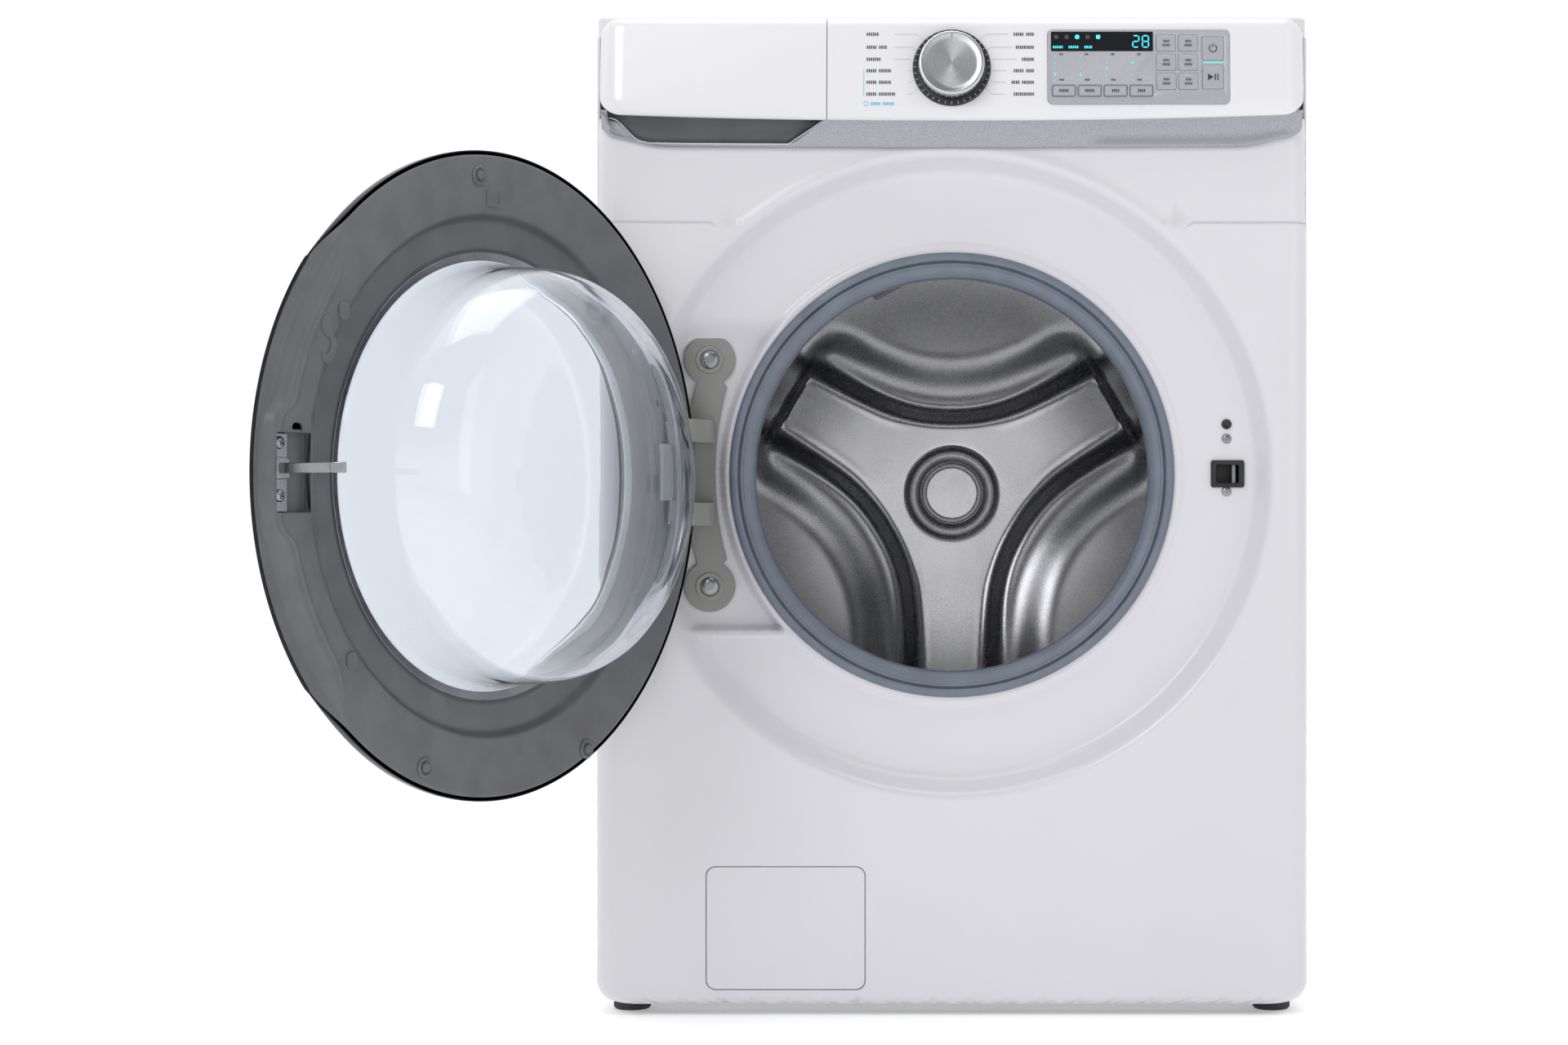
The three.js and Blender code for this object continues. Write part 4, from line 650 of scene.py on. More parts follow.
def label_row(name, place, finish, x0, v, words, height, y=-0.15, align="left"):
    """A row of small printed marks in groups, in place of a printed label."""
    pitch = height * 0.62
    width = sum(words) * pitch + (len(words) - 1) * pitch
    x = x0 if align == "left" else x0 - width
    rows = []
    for i, letters in enumerate(words):
        rows.append(repeated(f"{name}_{i}", row_of_bars, {
            "Count": letters, "Start": (x + pitch / 2, y, v), "Pitch": (pitch, 0.0, 0.0),
            "Bar": (pitch * 0.62, 0.12, height)}, place, finish, "cabinet"))
        x += (letters + 1) * pitch
    return rows


# ---------------------------------------------------------------- pressed steel front

DISH_Z, DISH_RADIUS, DISH_DEPTH = 519, 308, 22
POCKET_DEPTH = 15
SEAM_Z = 760
HALF = 343
SHEET_TOP, SHEET_BOTTOM = 862, 10
CORNER = 22
FRONT_RETURN = 25


def front_relief(x, z):
    """How far the front is pressed in at each place, in millimetres."""
    up = z - DISH_Z
    r = np.hypot(x, up)
    depth = DISH_DEPTH * step((DISH_RADIUS + 6 - r) / 28)
    # raised rim beside the rubber seal
    depth -= 2.5 * step((226 - r) / 7)
    # hinge pocket: soft at its top, a crisp ledge below
    side = step((-x - 60) / 30) * step((r - 217) / 9)
    soft_top = step((160 - up) / 44)
    ledge = step((up + 152) / 7)
    lip = 0.9 * np.exp(-((up + 155) / 2.2) ** 2) * side * step((300 - r) / 12)
    inside = step((300 - r) / 16)
    depth += (POCKET_DEPTH * side * soft_top * ledge - lip) * inside
    # stamped seam, dying out where it meets the dish
    fade = step((r - DISH_RADIUS - 1) / 14)
    above = step((z - SEAM_Z + 0.2) / 1.1)
    groove = 1.3 * np.exp(-((z - SEAM_Z - 1.2) / 0.9) ** 2)
    depth += (1.5 * above + groove) * fade
    # rolled lower edge
    roll = np.clip((SHEET_BOTTOM + 7 - z) / 7, 0, 1)
    return depth + 7 * (1 - np.sqrt(1 - 0.98 * roll ** 2))


def front_surface(u, z):
    """The front sheet: u runs across it and round its upright edges."""
    low = np.clip((SHEET_BOTTOM + CORNER - z) / CORNER, 0, 1)
    half = HALF - CORNER * (1 - np.sqrt(1 - 0.98 * low ** 2))
    flat = HALF - CORNER
    x = np.clip(u, -flat, flat) * (half - CORNER) / flat
    past = np.maximum(np.abs(u) - flat, 0)
    angle = np.minimum(past / CORNER, math.pi / 2)
    straight = np.maximum(past - CORNER * math.pi / 2, 0)
    sign = np.sign(u)
    relief = front_relief(np.clip(u, -flat, flat), z)
    x = x + sign * (CORNER * np.sin(angle) - relief * np.sin(angle))
    y = CORNER * (1 - np.cos(angle)) + straight + relief * np.cos(angle)
    return np.stack([x, y, z + 0 * u], axis=1)


def front_sheet():
    reach = HALF - CORNER + CORNER * math.pi / 2 + FRONT_RETURN - CORNER
    flat = HALF - CORNER
    grid, edges = [], []

    def loop(outline):
        start = len(grid)
        grid.extend(outline)
        edges.extend((start + i, start + (i + 1) % len(outline)) for i in range(len(outline)))

    def line(first, last, count):
        return [tuple(lerp(np.array(first), np.array(last), i / count)) for i in range(count)]

    rows = [SHEET_BOTTOM + t for t in (0, 0.4, 1, 2, 3.2, 4.6, 6, 8, 11, 15, 19, 23)]
    rows += list(np.arange(50, 750, 22)) + [757, 758.4, 759.2, 759.6, 760, 760.4, 760.8, 761.2,
                                            761.6, 762.2, 763.2, 765, 785, 805, 825, 845]
    columns = [flat + CORNER * math.pi / 2 * k / 10 for k in range(11)]
    columns = [-c for c in columns] + list(np.linspace(-flat + 18, flat - 18, 35)) + columns
    loop(line((-reach, SHEET_BOTTOM), (reach, SHEET_BOTTOM), 60)
         + line((reach, SHEET_BOTTOM), (reach, SHEET_TOP), 60)
         + line((reach, SHEET_TOP), (-reach, SHEET_TOP), 60)
         + line((-reach, SHEET_TOP), (-reach, SHEET_BOTTOM), 60))
    opening = [(208 * math.sin(a), DISH_Z + 208 * math.cos(a))
               for a in np.linspace(0, 2 * math.pi, 192, endpoint=False)]
    loop(opening)
    filter_hole = round_rect(-159.5 - 76.8, -159.5 + 76.8, 83.5 - 59.5, 83.5 + 59.5, 9)
    loop(filter_hole)
    lock_hole = round_rect(251, 282, 508, 532, 2, 3)
    loop(lock_hole)
    for z in rows:
        for u in columns:
            if math.hypot(u, z - DISH_Z) > 330:
                grid.append((float(u), float(z)))
    rings = ([209.5, 212, 215] + list(np.arange(217, 229, 1.5)) + list(np.arange(230, 272, 6))
             + list(np.arange(272, 320, 2.0)) + [324])
    for k, r in enumerate(rings):
        for a in np.linspace(0, 2 * math.pi, 216, endpoint=False) + (k % 2) * math.pi / 216:
            grid.append((r * math.sin(a), DISH_Z + r * math.cos(a)))
    for z in np.concatenate([np.arange(DISH_Z - 159, DISH_Z - 141, 1.2),
                             np.arange(DISH_Z + 112, DISH_Z + 164, 4.0)]):
        for u in np.arange(-296, -90, 5.0):
            if 218 < math.hypot(u, z - DISH_Z) < 306:
                grid.append((u + 0.7, z + 0.3))

    keep = [Vector(p) for p in grid]
    points, _, tris, *_ = delaunay_2d_cdt(keep, edges, [], 1, 1e-4)

    def inside(p, outline):
        hit = False
        for (x0, z0), (x1, z1) in zip(outline, outline[1:] + outline[:1]):
            if (z0 > p[1]) != (z1 > p[1]) and p[0] < x0 + (p[1] - z0) / (z1 - z0) * (x1 - x0):
                hit = not hit
        return hit

    whole = []
    for tri in tris:
        middle = sum((points[i] for i in tri), Vector((0, 0))) / 3
        near = math.hypot(middle.x, middle.y - DISH_Z)
        if near < 207.9 or inside(middle, filter_hole) or inside(middle, lock_hole):
            continue
        whole.append(list(tri))
    return skin(front_surface, [tuple(p) for p in points], whole, 1.2)


front_shape, front_normals = front_sheet()
front = made("front_sheet", front_shape, CABINET, white_enamel, "cabinet",
             normals=front_normals)
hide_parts("front_frame")
stop_flange = made("filter_stop_flange", both(
    prism(round_rect(-243, -76, 17, 150, 12), 1.4, 9)), CABINET, white_enamel, "cabinet")
carved(stop_flange, [
    made("hole", prism(round_rect(-236.3, -82.7, 24, 143, 9), 0, 3), CABINET, white_enamel, None),
    made("hole", prism(round_rect(-228.5, -90.5, 31.8, 135.2, 8), 0, 12), CABINET, white_enamel,
         None)])
edged(stop_flange, 0.8)

# ---------------------------------------------------------------- cabinet

DEPTH = 735
LID_Z = 943
RAIL_END = HALF - 2  # cross rails run into the side walls
FRONT_RAIL = (25.8, 28.8)
REAR_RAIL = (DEPTH - 3.5, DEPTH - 0.5)
SPRING_SHELF_Z = 848.3


def cabinet_side(sign):
    """One side wall with its turned-in lower edge and rear flange."""
    top = LID_Z - 0.3
    r = CORNER
    outer = [(HALF, top), (HALF, 10 + r)]
    inner = [(HALF - 3, 10 + r), (HALF - 3, top)]
    for k in range(1, 9):
        a = math.pi / 2 * k / 8
        outer.append((HALF - r + r * math.cos(a), 10 + r - r * math.sin(a)))
        inner.insert(0, (HALF - r + (r - 3) * math.cos(a), 10 + r - (r - 3) * math.sin(a)))
    wall = prism([(sign * x, z) for x, z in outer + [(300, 10), (300, 13)] + inner], 25.3, DEPTH)
    flange = box(sorted((sign * (HALF - 42), sign * (HALF - 1))), (DEPTH - 3, DEPTH),
                 (10 + r, top))
    shelf = box(sorted((sign * 213, sign * (HALF - 2))), (300, 360),
                (SPRING_SHELF_Z, SPRING_SHELF_Z + 3))
    return both(wall, flange, shelf)


sides = made("cabinet_sides", both(
    cabinet_side(1), cabinet_side(-1),
    box((-RAIL_END, RAIL_END), FRONT_RAIL, (32, 62)),
    box((-RAIL_END, RAIL_END), REAR_RAIL, (32, 62)),
    box((-RAIL_END, RAIL_END), FRONT_RAIL, (822, 858)),
    box((-RAIL_END, RAIL_END), REAR_RAIL, (930.2, 942.2))), CABINET, white_enamel, "cabinet")
edged(sides, 0.9, 2)
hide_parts("cabinet_shell")
pan = made("base_pan_pressing", along_z(round_rect(-298, 298, 30, DEPTH - 5, 12), 10.5, 24),
           CABINET, galvanised, "cabinet")
carved(pan, [made("hole", along_z(round_rect(-295, 295, 33, DEPTH - 8, 10), 13, 30), CABINET,
                  galvanised, None)])
edged(pan, 0.8, 2)
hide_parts("base_pan")

lid = made("lid", along_z(round_rect(-HALF, HALF, 25, 741, 12), LID_Z, 962), CABINET,
           white_enamel, "cabinet")
carved(lid, [made("hole", along_z(round_rect(-338, 338, 30, 736, 8), LID_Z - 1, 958), CABINET,
                  white_enamel, None)])
edged(lid, 2.4, 4, 40)
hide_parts("top_cover")

# rear cover: stiffening ribs, a round bulge over the motor, and screws along its edge
BULGE_Z = 502.1


def rear_cover():
    def relief(x, z):
        r = np.hypot(x, z - BULGE_Z)
        depth = 9 * step((172 - r) / 16) - 3.5 * step((96 - r) / 10)
        rib = step((np.abs(x) - 196) / 8) * step((318 - np.abs(x)) / 8)
        for middle in (130, 200, 270, 640, 710, 780):
            depth += 4.5 * rib * step((13 - np.abs(z - middle)) / 7)
        centre_rib = step((150 - np.abs(x)) / 8)
        for middle in (90, 150, 780, 830):
            depth += 4.5 * centre_rib * step((13 - np.abs(z - middle)) / 7)
        return depth

    def surface(x, z):
        return np.stack([x, 735.3 + 3 + relief(x, z), z], axis=1)

    columns = sorted(set(np.linspace(-331, 331, 140)))
    rows = sorted(set(np.linspace(30, 931, 190)))
    grid = [(x, z) for z in rows for x in columns]
    wide = len(columns)
    holes = [(222, 901, 12), (268, 901, 12), (262, 813, 18)]

    def open_at(x, z):
        if any(math.hypot(x - hx, z - hz) < hr for hx, hz, hr in holes):
            return True
        return -288 < x < -248 and 885 < z < 913

    quads = []
    for j in range(len(rows) - 1):
        for i in range(wide - 1):
            middle = ((columns[i] + columns[i + 1]) / 2, (rows[j] + rows[j + 1]) / 2)
            if not open_at(*middle):
                a = j * wide + i
                quads.append([a + 1, a, a + wide, a + wide + 1])
    return skin(surface, grid, quads, 1.2, True)


rear_shape, rear_normals = rear_cover()
rear = made("rear_cover_pressing", rear_shape, CABINET, galvanised, "cabinet",
            normals=rear_normals)
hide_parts("rear_cover")
REAR_FACE = CABINET @ moved(0, 738.3, 0) @ Matrix.Rotation(math.pi, 4, "Z")
edge_screws = [(x, 0, z) for x in (-322, 322) for z in (60, 250, 440, 630, 850)]
edge_screws += [(x, 0, 45) for x in (-150, 0, 150)] + [(x, 0, 922) for x in (-120, 40)]
screws("rear_cover_screws", edge_screws, REAR_FACE, zinc_steel, "cabinet", 5.0, 2.6, 1.4)
# painted shade: black bars on the rear cover stand in for the dark openings of the vent slots
repeated("rear_vent_slots", row_of_bars, {
    "Count": 18, "Start": (-68.0, 738.6, 866.0), "Pitch": (8.0, 0.0, 0.0),
    "Bar": (3.6, 0.8, 26.0)}, CABINET, black_plastic, "cabinet")

# feet: ribbed rubber cups
foot_profile = rounded([(0.01, 0), (16, 0, 1.2), (17.6, 2, 1), (17.6, 7.6, 1), (14.5, 9.7, 1),
                        (0.01, 9.7)], 0.5)


def foot_ribs(tree, inputs):
    circle = add(tree, "GeometryNodeMeshCircle", links={"Vertices": inputs["Count"],
                 "Radius": inputs["Radius"]})
    spin = add(tree, "FunctionNodeAlignRotationToVector", {"axis": "X"},
               links={"Vector": add(tree, "GeometryNodeInputPosition").outputs[0]})
    rib = add(tree, "GeometryNodeMeshCube", links={"Size": inputs["Rib"]})
    put = add(tree, "GeometryNodeInstanceOnPoints", links={"Points": circle.outputs[0],
              "Instance": rib.outputs[0], "Rotation": spin.outputs[0]})
    return put.outputs[0]


for corner in ("front_left", "front_right", "rear_left", "rear_right"):
    low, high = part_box(f"foot_{corner}")
    middle = CABINET.inverted() @ ((low + high) / 2)
    upright = CABINET @ moved(middle.x, middle.y, 0) @ Matrix.Rotation(math.pi / 2, 4, "X")
    cup = made(f"foot_cup_{corner}", turned(foot_profile, 48), upright, foot_rubber, "cabinet")
    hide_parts(f"foot_{corner}")
    repeated(f"foot_ribs_{corner}", foot_ribs, {"Count": 30, "Radius": 17.3, "Rib":
             (1.4, 1.5, 5.2)}, CABINET @ moved(middle.x, middle.y, 4.8), foot_rubber, "cabinet")

# service filter door, set flush with the front
filter_leaf = made("filter_door_leaf", both(
    prism(round_rect(-235.5, -83.5, 24.75, 142.25, 9), 0.25, 2.7),
    box((-177, -142), (2, 7), (129, 132))), CABINET, white_enamel, "filter_door")
edged(filter_leaf, 0.9, 3)
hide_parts("filter_door")
cap_grip = made("filter_cap_grip", both(
    prism(round_rect(-185.5, -133.5, 78.5, 88.5, 4.5), 12, 23),
    turned([(0, 22), (30, 22), (34, 25), (34, 38), (0, 38)], 48, -159.5, 83.5)), CABINET,
    inner_plastic, "filter_cap")
edged(cap_grip, 1.2, 3)
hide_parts("filter_cap")

# ---------------------------------------------------------------- rubber seal

seal_profile = rounded([
    (215, 21.6, 0.5), (215, 16.8, 2.2), (212.2, 13.9, 1.6), (208.2, 13.4, 1.2), (206.6, 15.0, 0.6),
    (206.0, 17.8, 0.6), (204.9, 17.9, 0.5), (204.2, 14.6, 0.9), (202.6, 14.3, 0.7),
    (201.8, 15.6, 0.5), (200.9, 15.2, 0.8), (196, 16.4, 4), (190.4, 21.6, 2.2), (190, 26, 2),
    (190.2, 41, 2), (196.2, 49, 3), (196.2, 60, 1), (199, 64, 2), (196.2, 68, 1), (196.2, 92.6, 1),
    (204, 92.6, 1), (204, 48, 2), (206.5, 36, 1), (206.5, 21.6, 0.5)], 1, 4)
seal = made("door_seal", turned(seal_profile, 192, 0, DISH_Z), CABINET, gasket_rubber, None, 60)
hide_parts("door_gasket")
# moulded marks where the seal's clamp band is fitted
for k, angle in enumerate((-40, 40, 139, -139)):
    a = math.radians(angle)
    arc = [(206.9 * math.sin(a + t), DISH_Z + 206.9 * math.cos(a + t))
           for t in np.linspace(-0.055, 0.055, 9)]
    arc += [(211.4 * math.sin(a + t), DISH_Z + 211.4 * math.cos(a + t))
            for t in np.linspace(0.055, -0.055, 9)]
    edged(made(f"seal_clamp_mark_{k}", prism(arc, 12.9, 14.6), CABINET, gasket_rubber,
               "cabinet"), 0.5, 2)

# ---------------------------------------------------------------- drum

DRUM_BACK = 596
ARM_HEIGHT = 34
LIFTER_RISE = 46


def drum_back_height(x, z):
    """How far the drum's back is raised towards the door."""
    r = np.hypot(x, z)
    spread = 0
    arm_end = np.zeros_like(r)
    for angle in (60, 180, 300):
        a = math.radians(angle)
        ax, az = math.sin(a), math.cos(a)
        t = x * ax + z * az
        off = np.abs(x * az - z * ax)
        d = np.where(t > 0, off, np.hypot(t, off))
        spread = spread + np.exp(-d / 30)
        arm_end = np.maximum(arm_end, t)
    out = -30 * np.log(spread) - 39
    top = ARM_HEIGHT * (1 - step((arm_end - 205) / 16))
    # from the arm's edge: a rounded side, a broad shoulder, then the flat floor of the lobe
    shoulder = 15.0 * (1 - step((out - 16) / 62)) * (1 - 0.7 * step((r - 205) / 40))
    height = lerp(shoulder, top, 1 - step((out + 8) / 30))
    bead = 0.8 * np.exp(-((out + 9) / 3.2) ** 2) * step((r - 80) / 40)
    height = height + bead * (1 - step((arm_end - 200) / 10))
    # hub: a round groove, a bead ring, a fine groove and the flat cap
    height = height - 21 * np.exp(-((r - 44.0) / 5.2) ** 2) - 3 * (1 - step((r - 42) / 8))
    height = height + 5.0 * np.exp(-((r - 35.2) / 1.9) ** 2)
    height = height + 4 * (1 - step((r - 28.4) / 1.6)) - 4 * np.exp(-((r - 31.4) / 1.5) ** 2)
    return height


def drum_back():
    def surface(r, angle):
        x, z = r * np.sin(angle), r * np.cos(angle)
        return np.stack([x, DRUM_BACK - drum_back_height(x, z), z], axis=1)

    radii = np.concatenate([np.arange(0.4, 26, 2.4), np.arange(26, 56, 0.8), np.arange(56, 90, 2),
                            np.arange(90, 273, 2.8), [272.6]])
    turns = 300
    grid = [(r, 2 * math.pi * k / turns) for r in radii for k in range(turns)]
    quads = []
    for j in range(len(radii) - 1):
        for k in range(turns):
            n = (k + 1) % turns
            quads.append([j * turns + k, (j + 1) * turns + k, (j + 1) * turns + n, j * turns + n])
    quads.append(list(range(turns)))
    return skin(surface, grid, quads, 1.2, True)


back_shape, back_normals = drum_back()
spider = made("drum_back", back_shape, WASHER, drum_steel, "drum", normals=back_normals)
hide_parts("drum")
wall_profile = rounded([
    (216, 116, 1), (216, 112, 3), (220, 109, 3), (262, 118, 4), (277, 134, 8), (277, 599, 2),
    (273, 599, 1), (273, 137, 8), (260, 122.5, 4), (224, 114.5, 2), (219.5, 116, 1)], 1, 5)
made("drum_wall", turned(wall_profile, 240), WASHER, drum_steel, "drum", 50)


def lifter(angle):
    """A paddle with a broad foot, a rounded crest and sloping ends."""
    rings = []
    for t in np.linspace(0, 1, 22):
        y = lerp(172.0, 540.0, t)
        rise = max(LIFTER_RISE * min(step(t / 0.16), step((1 - t) / 0.16)), 0.4)
        wide = 36 - 4 * (1 - rise / LIFTER_RISE)
        section = []
        for s in np.linspace(-1, 1, 25):
            x = wide * s
            up = rise * (1 - abs(s) ** 2.6) ** 0.9
            section.append((x, y, math.sqrt(272.6 ** 2 - x * x) - up))
        for s in np.linspace(1, -1, 9):
            x = wide * s
            section.append((x, y, math.sqrt(274.2 ** 2 - x * x)))
        rings.append(section)
    points, faces = swept(rings)
    turn = Matrix.Rotation(math.radians(angle), 4, "Y")
    return [tuple(turn @ Vector(p)) for p in points], faces


for k, angle in enumerate((60, 180, 300)):
    made(f"drum_lifter_{k}", lifter(angle), WASHER, drum_steel, "drum", 50)


def perforations(tree, inputs):
    """Rows of small raised cones round the drum's wall."""
    circle = add(tree, "GeometryNodeMeshCircle", links={"Vertices": inputs["Count"],
                 "Radius": inputs["Radius"]})
    upright = add(tree, "GeometryNodeTransform", values={"Rotation": (math.pi / 2, 0, 0)},
                  links={"Geometry": circle.outputs[0]})
    facing = add(tree, "FunctionNodeAlignRotationToVector", {"axis": "Z"},
                 links={"Vector": add(tree, "GeometryNodeInputPosition").outputs[0]})
    cone = add(tree, "GeometryNodeMeshCone", {"fill_type": "NGON"}, {"Vertices": 8,
               "Depth": 1.4}, {"Radius Top": inputs["Hole"], "Radius Bottom": inputs["Rim"]})
    ring = add(tree, "GeometryNodeInstanceOnPoints", links={"Points": upright.outputs[0],
               "Instance": cone.outputs[0], "Rotation": facing.outputs[0]})
    rows = add(tree, "GeometryNodeMeshLine", links={"Count": inputs["Rows"],
               "Start Location": inputs["First"], "Offset": inputs["Pitch"]})
    put = add(tree, "GeometryNodeInstanceOnPoints", links={"Points": rows.outputs[0],
              "Instance": ring.outputs[0]})
    return put.outputs[0]


for k, shift in enumerate((0.0, math.pi / 90)):
    repeated(f"drum_perforations_{k}", perforations, {
        "Count": 90, "Radius": 272.9, "Hole": 1.6, "Rim": 3.4, "Rows": 13,
        "First": (0.0, 160.0 + 15 * k, 0.0), "Pitch": (0.0, 30.0, 0.0)},
        WASHER @ Matrix.Rotation(shift, 4, "Y"), drum_steel, "drum")


def rim_beads(tree, inputs):
    """Dimples in a ring near the edge of the drum's back."""
    circle = add(tree, "GeometryNodeMeshCircle", links={"Vertices": inputs["Count"],
                 "Radius": inputs["Radius"]})
    upright = add(tree, "GeometryNodeTransform", values={"Rotation": (math.pi / 2, 0, 0)},
                  links={"Geometry": circle.outputs[0], "Translation": inputs["Middle"]})
    bead = add(tree, "GeometryNodeMeshIcoSphere", values={"Subdivisions": 2},
               links={"Radius": inputs["Bead"]})
    put = add(tree, "GeometryNodeInstanceOnPoints", links={"Points": upright.outputs[0],
              "Instance": bead.outputs[0]})
    return put.outputs[0]


repeated("drum_back_dimples", rim_beads, {"Count": 80, "Radius": 252.0, "Bead": 3.2,
         "Middle": (0.0, DRUM_BACK + 1.2, 0.0)}, WASHER, drum_steel, "drum")

# spray nozzle that looks through the seal at its upper left
nozzle = made("spray_nozzle", prism(rounded([(-74, 172), (-48, 186), (-49, 196), (-52, 199),
              (-80, 184), (-78, 176)], 4, 4), 60, 72), CABINET @ moved(0, 0, DISH_Z),
              door_plastic, "tub", 40)
edged(nozzle, 1.4, 3)

# ---------------------------------------------------------------- door

DOOR_Z = 514
FACE = -23.0  # plane of the inner ring on the shut door
door_centre = moved(0, 0, DOOR_Z)
DOOR_ROUND = DOOR @ door_centre


def grip(angle):
    """1 along the finger grip on the door's free side, 0 elsewhere. Angle is from +X."""
    away = np.abs(np.angle(np.exp(1j * angle)))
    return 1 - step((away - math.radians(36)) / math.radians(15))


def face_edge(angle):
    """Radius where the flat face of the inner ring ends."""
    away = np.abs(np.angle(np.exp(1j * angle)))
    pinch = 1 - step((away - math.radians(9)) / math.radians(5))
    return lerp(281.0, lerp(259.0, 272.0, pinch), grip(angle))


def inner_ring():
    def surface(t, angle):
        edge = face_edge(angle)
        hold = grip(angle)
        r = np.where(t <= 1, lerp(GLASS_EDGE, edge, np.minimum(t, 1)),
                     lerp(edge, lerp(284.2, 287.0, hold), np.clip(t - 1, 0, 1)))
        y = FACE - 7 * (1 - step((r - 224.5) / 9))
        y = y - 1.6 * step((203 - r) / 5)
        past = np.clip(t - 1, 0, 1)
        y = y - hold * 10.5 * step(past / 0.62)
        y = y - (1 - hold) * 0.9 * past ** 2
        # shallow crease that follows the grip
        ridge = np.exp(-((r - edge + 4.5) / 2.0) ** 2) * step((np.abs(edge - r) + 10) / 10)
        y = y + 0.7 * hold * ridge
        x, z = r * np.cos(angle), r * np.sin(angle)
        return np.stack([x, y, z], axis=1)

    GLASS_EDGE = 196.3
    stops = np.concatenate([np.linspace(0, 0.1, 8), np.linspace(0.12, 0.48, 28),
                            np.linspace(0.5, 0.9, 10), np.linspace(0.91, 1.0, 12),
                            1 + np.linspace(0.03, 1, 30)])
    turns = 300
    grid = [(t, 2 * math.pi * k / turns) for t in stops for k in range(turns)]
    quads = []
    for j in range(len(stops) - 1):
        for k in range(turns):
            n = (k + 1) % turns
            quads.append([j * turns + n, (j + 1) * turns + n, (j + 1) * turns + k,
                          j * turns + k])
    return skin(surface, grid, quads, 2.4, True)


inner = made("door_inner_ring", inner_ring()[0], DOOR_ROUND, door_plastic, "door", 32)
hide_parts("door_frame")


def door_block(x, y, z, corner=3):
    """A cutter or lump on the door's face, with rounded corners seen from inside the door."""
    return made("block", prism(round_rect(x[0], x[1], z[0], z[1], corner), y[0], y[1]), DOOR,
                door_plastic, None)


carved(inner, [door_block((229, 269.5), (-40, -15), (481, 547), 2.5),
               door_block((240, 252), (-26.5, -15), (545, 555), 4),
               door_block((-267, -256), (-40, -15), (573, 584), 1),
               door_block((-248, -240), (-40, -15), (587, 595), 3.9)])
edged(inner, 0.6, 2, 50)
pocket = made("latch_pocket", prism(round_rect(226.5, 272, 478.5, 549.5, 4), -35.5, -24.2), DOOR,
              door_plastic, "door")
carved(pocket, [door_block((229, 269.5), (-33.5, -15), (481, 547), 2.5)])
edged(pocket, 0.5, 2)

# small moulded features of the inner ring
bosses = [(23.6, 778.7), (93.9, 261.8), (-123.0, 264.8)]
boss_profile = [(0.01, -23.2), (9.2, -23.2), (9.2, -22.0), (8.0, -21.2), (6.6, -21.2),
                (5.6, -22.6), (4.8, -22.6), (4.2, -19.8), (3.2, -19.2), (0.01, -19.2)]
for k, (x, z) in enumerate(bosses):
    made(f"door_rest_boss_{k}", turned(rounded(boss_profile, 0.5, 3), 40, x, z), DOOR,
         door_plastic, "door", 45)
for k, (x, z, w, h) in enumerate(((192.3, 649.7, 12, 15), (182.7, 357.3, 12, 15))):
    edged(made(f"door_pad_{k}", prism(round_rect(x - w / 2, x + w / 2, z - h / 2, z + h / 2, 4.5),
               -23.4, -21.3), DOOR, door_plastic, "door"), 0.9, 3)
notch = [(204, 640), (210, 647), (217, 644), (219, 636), (214, 628), (209, 627), (207, 620),
         (212, 612), (219, 614), (217, 606), (209, 604), (203, 611), (200, 622), (206, 631)]
edged(made("door_cable_notch", prism(rounded(notch, 3, 3), -23.4, -21.9), DOOR, door_plastic,
           "door"), 0.6, 2)
guide = [(-6, 752), (14, 752), (14, 767), (10, 767), (10, 756), (-2, 756), (-2, 767), (-6, 767)]
edged(made("door_guide_mark", prism(guide, -23.3, -22.4), DOOR, door_plastic, "door"), 0.3, 2)
INSIDE_DOOR = DOOR @ moved(0, FACE, 0) @ Matrix.Rotation(math.pi, 4, "Z")
ring_screws = [(210.5, 0, 645.6), (215.4, 0, 399.7)]
screws("door_ring_screws", [(x, 1.8, z) for x, y, z in ring_screws], INSIDE_DOOR, zinc_steel,
       "door", 4.4, 2.2, 1.3, 0.5)
for k, (x, y, z) in enumerate(ring_screws):
    rim = [(4.7, -25.6), (7.6, -23.2), (7.6, -22.3), (6.6, -22.3), (4.7, -24.2)]
    made(f"door_screw_well_{k}", turned(rounded(rim, 0.3, 2), 36, -x, z), DOOR, door_plastic,
         "door", 50)

# latch: steel plate, its two screws and the hook that enters the lock
HOOK_X, HOOK_Z, HOOK_TIP = 261.5, 517.5, 44
plate = made("latch_plate", box((249, 269.2), (-33.4, -31.4), (481.6, 546.4)), DOOR, bright_steel,
             "door")
edged(plate, 0.5, 2)
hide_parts("door_hook")
hook_side = rounded([(HOOK_X - 4.5, -31.6, 0), (HOOK_X + 2.5, -31.6, 0), (HOOK_X + 1.0, -20, 3),
                     (HOOK_X + 0.6, HOOK_TIP - 14, 1.5), (HOOK_X + 4.4, HOOK_TIP - 11.5, 1.2),
                     (HOOK_X + 4.4, HOOK_TIP - 7, 1.5), (HOOK_X + 0.5, HOOK_TIP, 2),
                     (HOOK_X - 4, HOOK_TIP, 2), (HOOK_X - 4.4, HOOK_TIP - 5, 3)], 1, 4)
hook = made("latch_hook", along_z(hook_side, HOOK_Z - 4.4, HOOK_Z + 4.4), DOOR, zinc_steel, "door")
edged(hook, 1.0, 3, 25)
collar = made("latch_collar", box((252.5, 268.4), (-31.5, -23.8), (508.5, 526.5)), DOOR,
              bright_steel, "door")
edged(collar, 2.0, 3)
screws("latch_screws", [(-258.5, 8.6, 495), (-258.5, 8.6, 538.5)], INSIDE_DOOR, zinc_steel,
       "door", 5.4, 2.6, 1.5, 0.4)


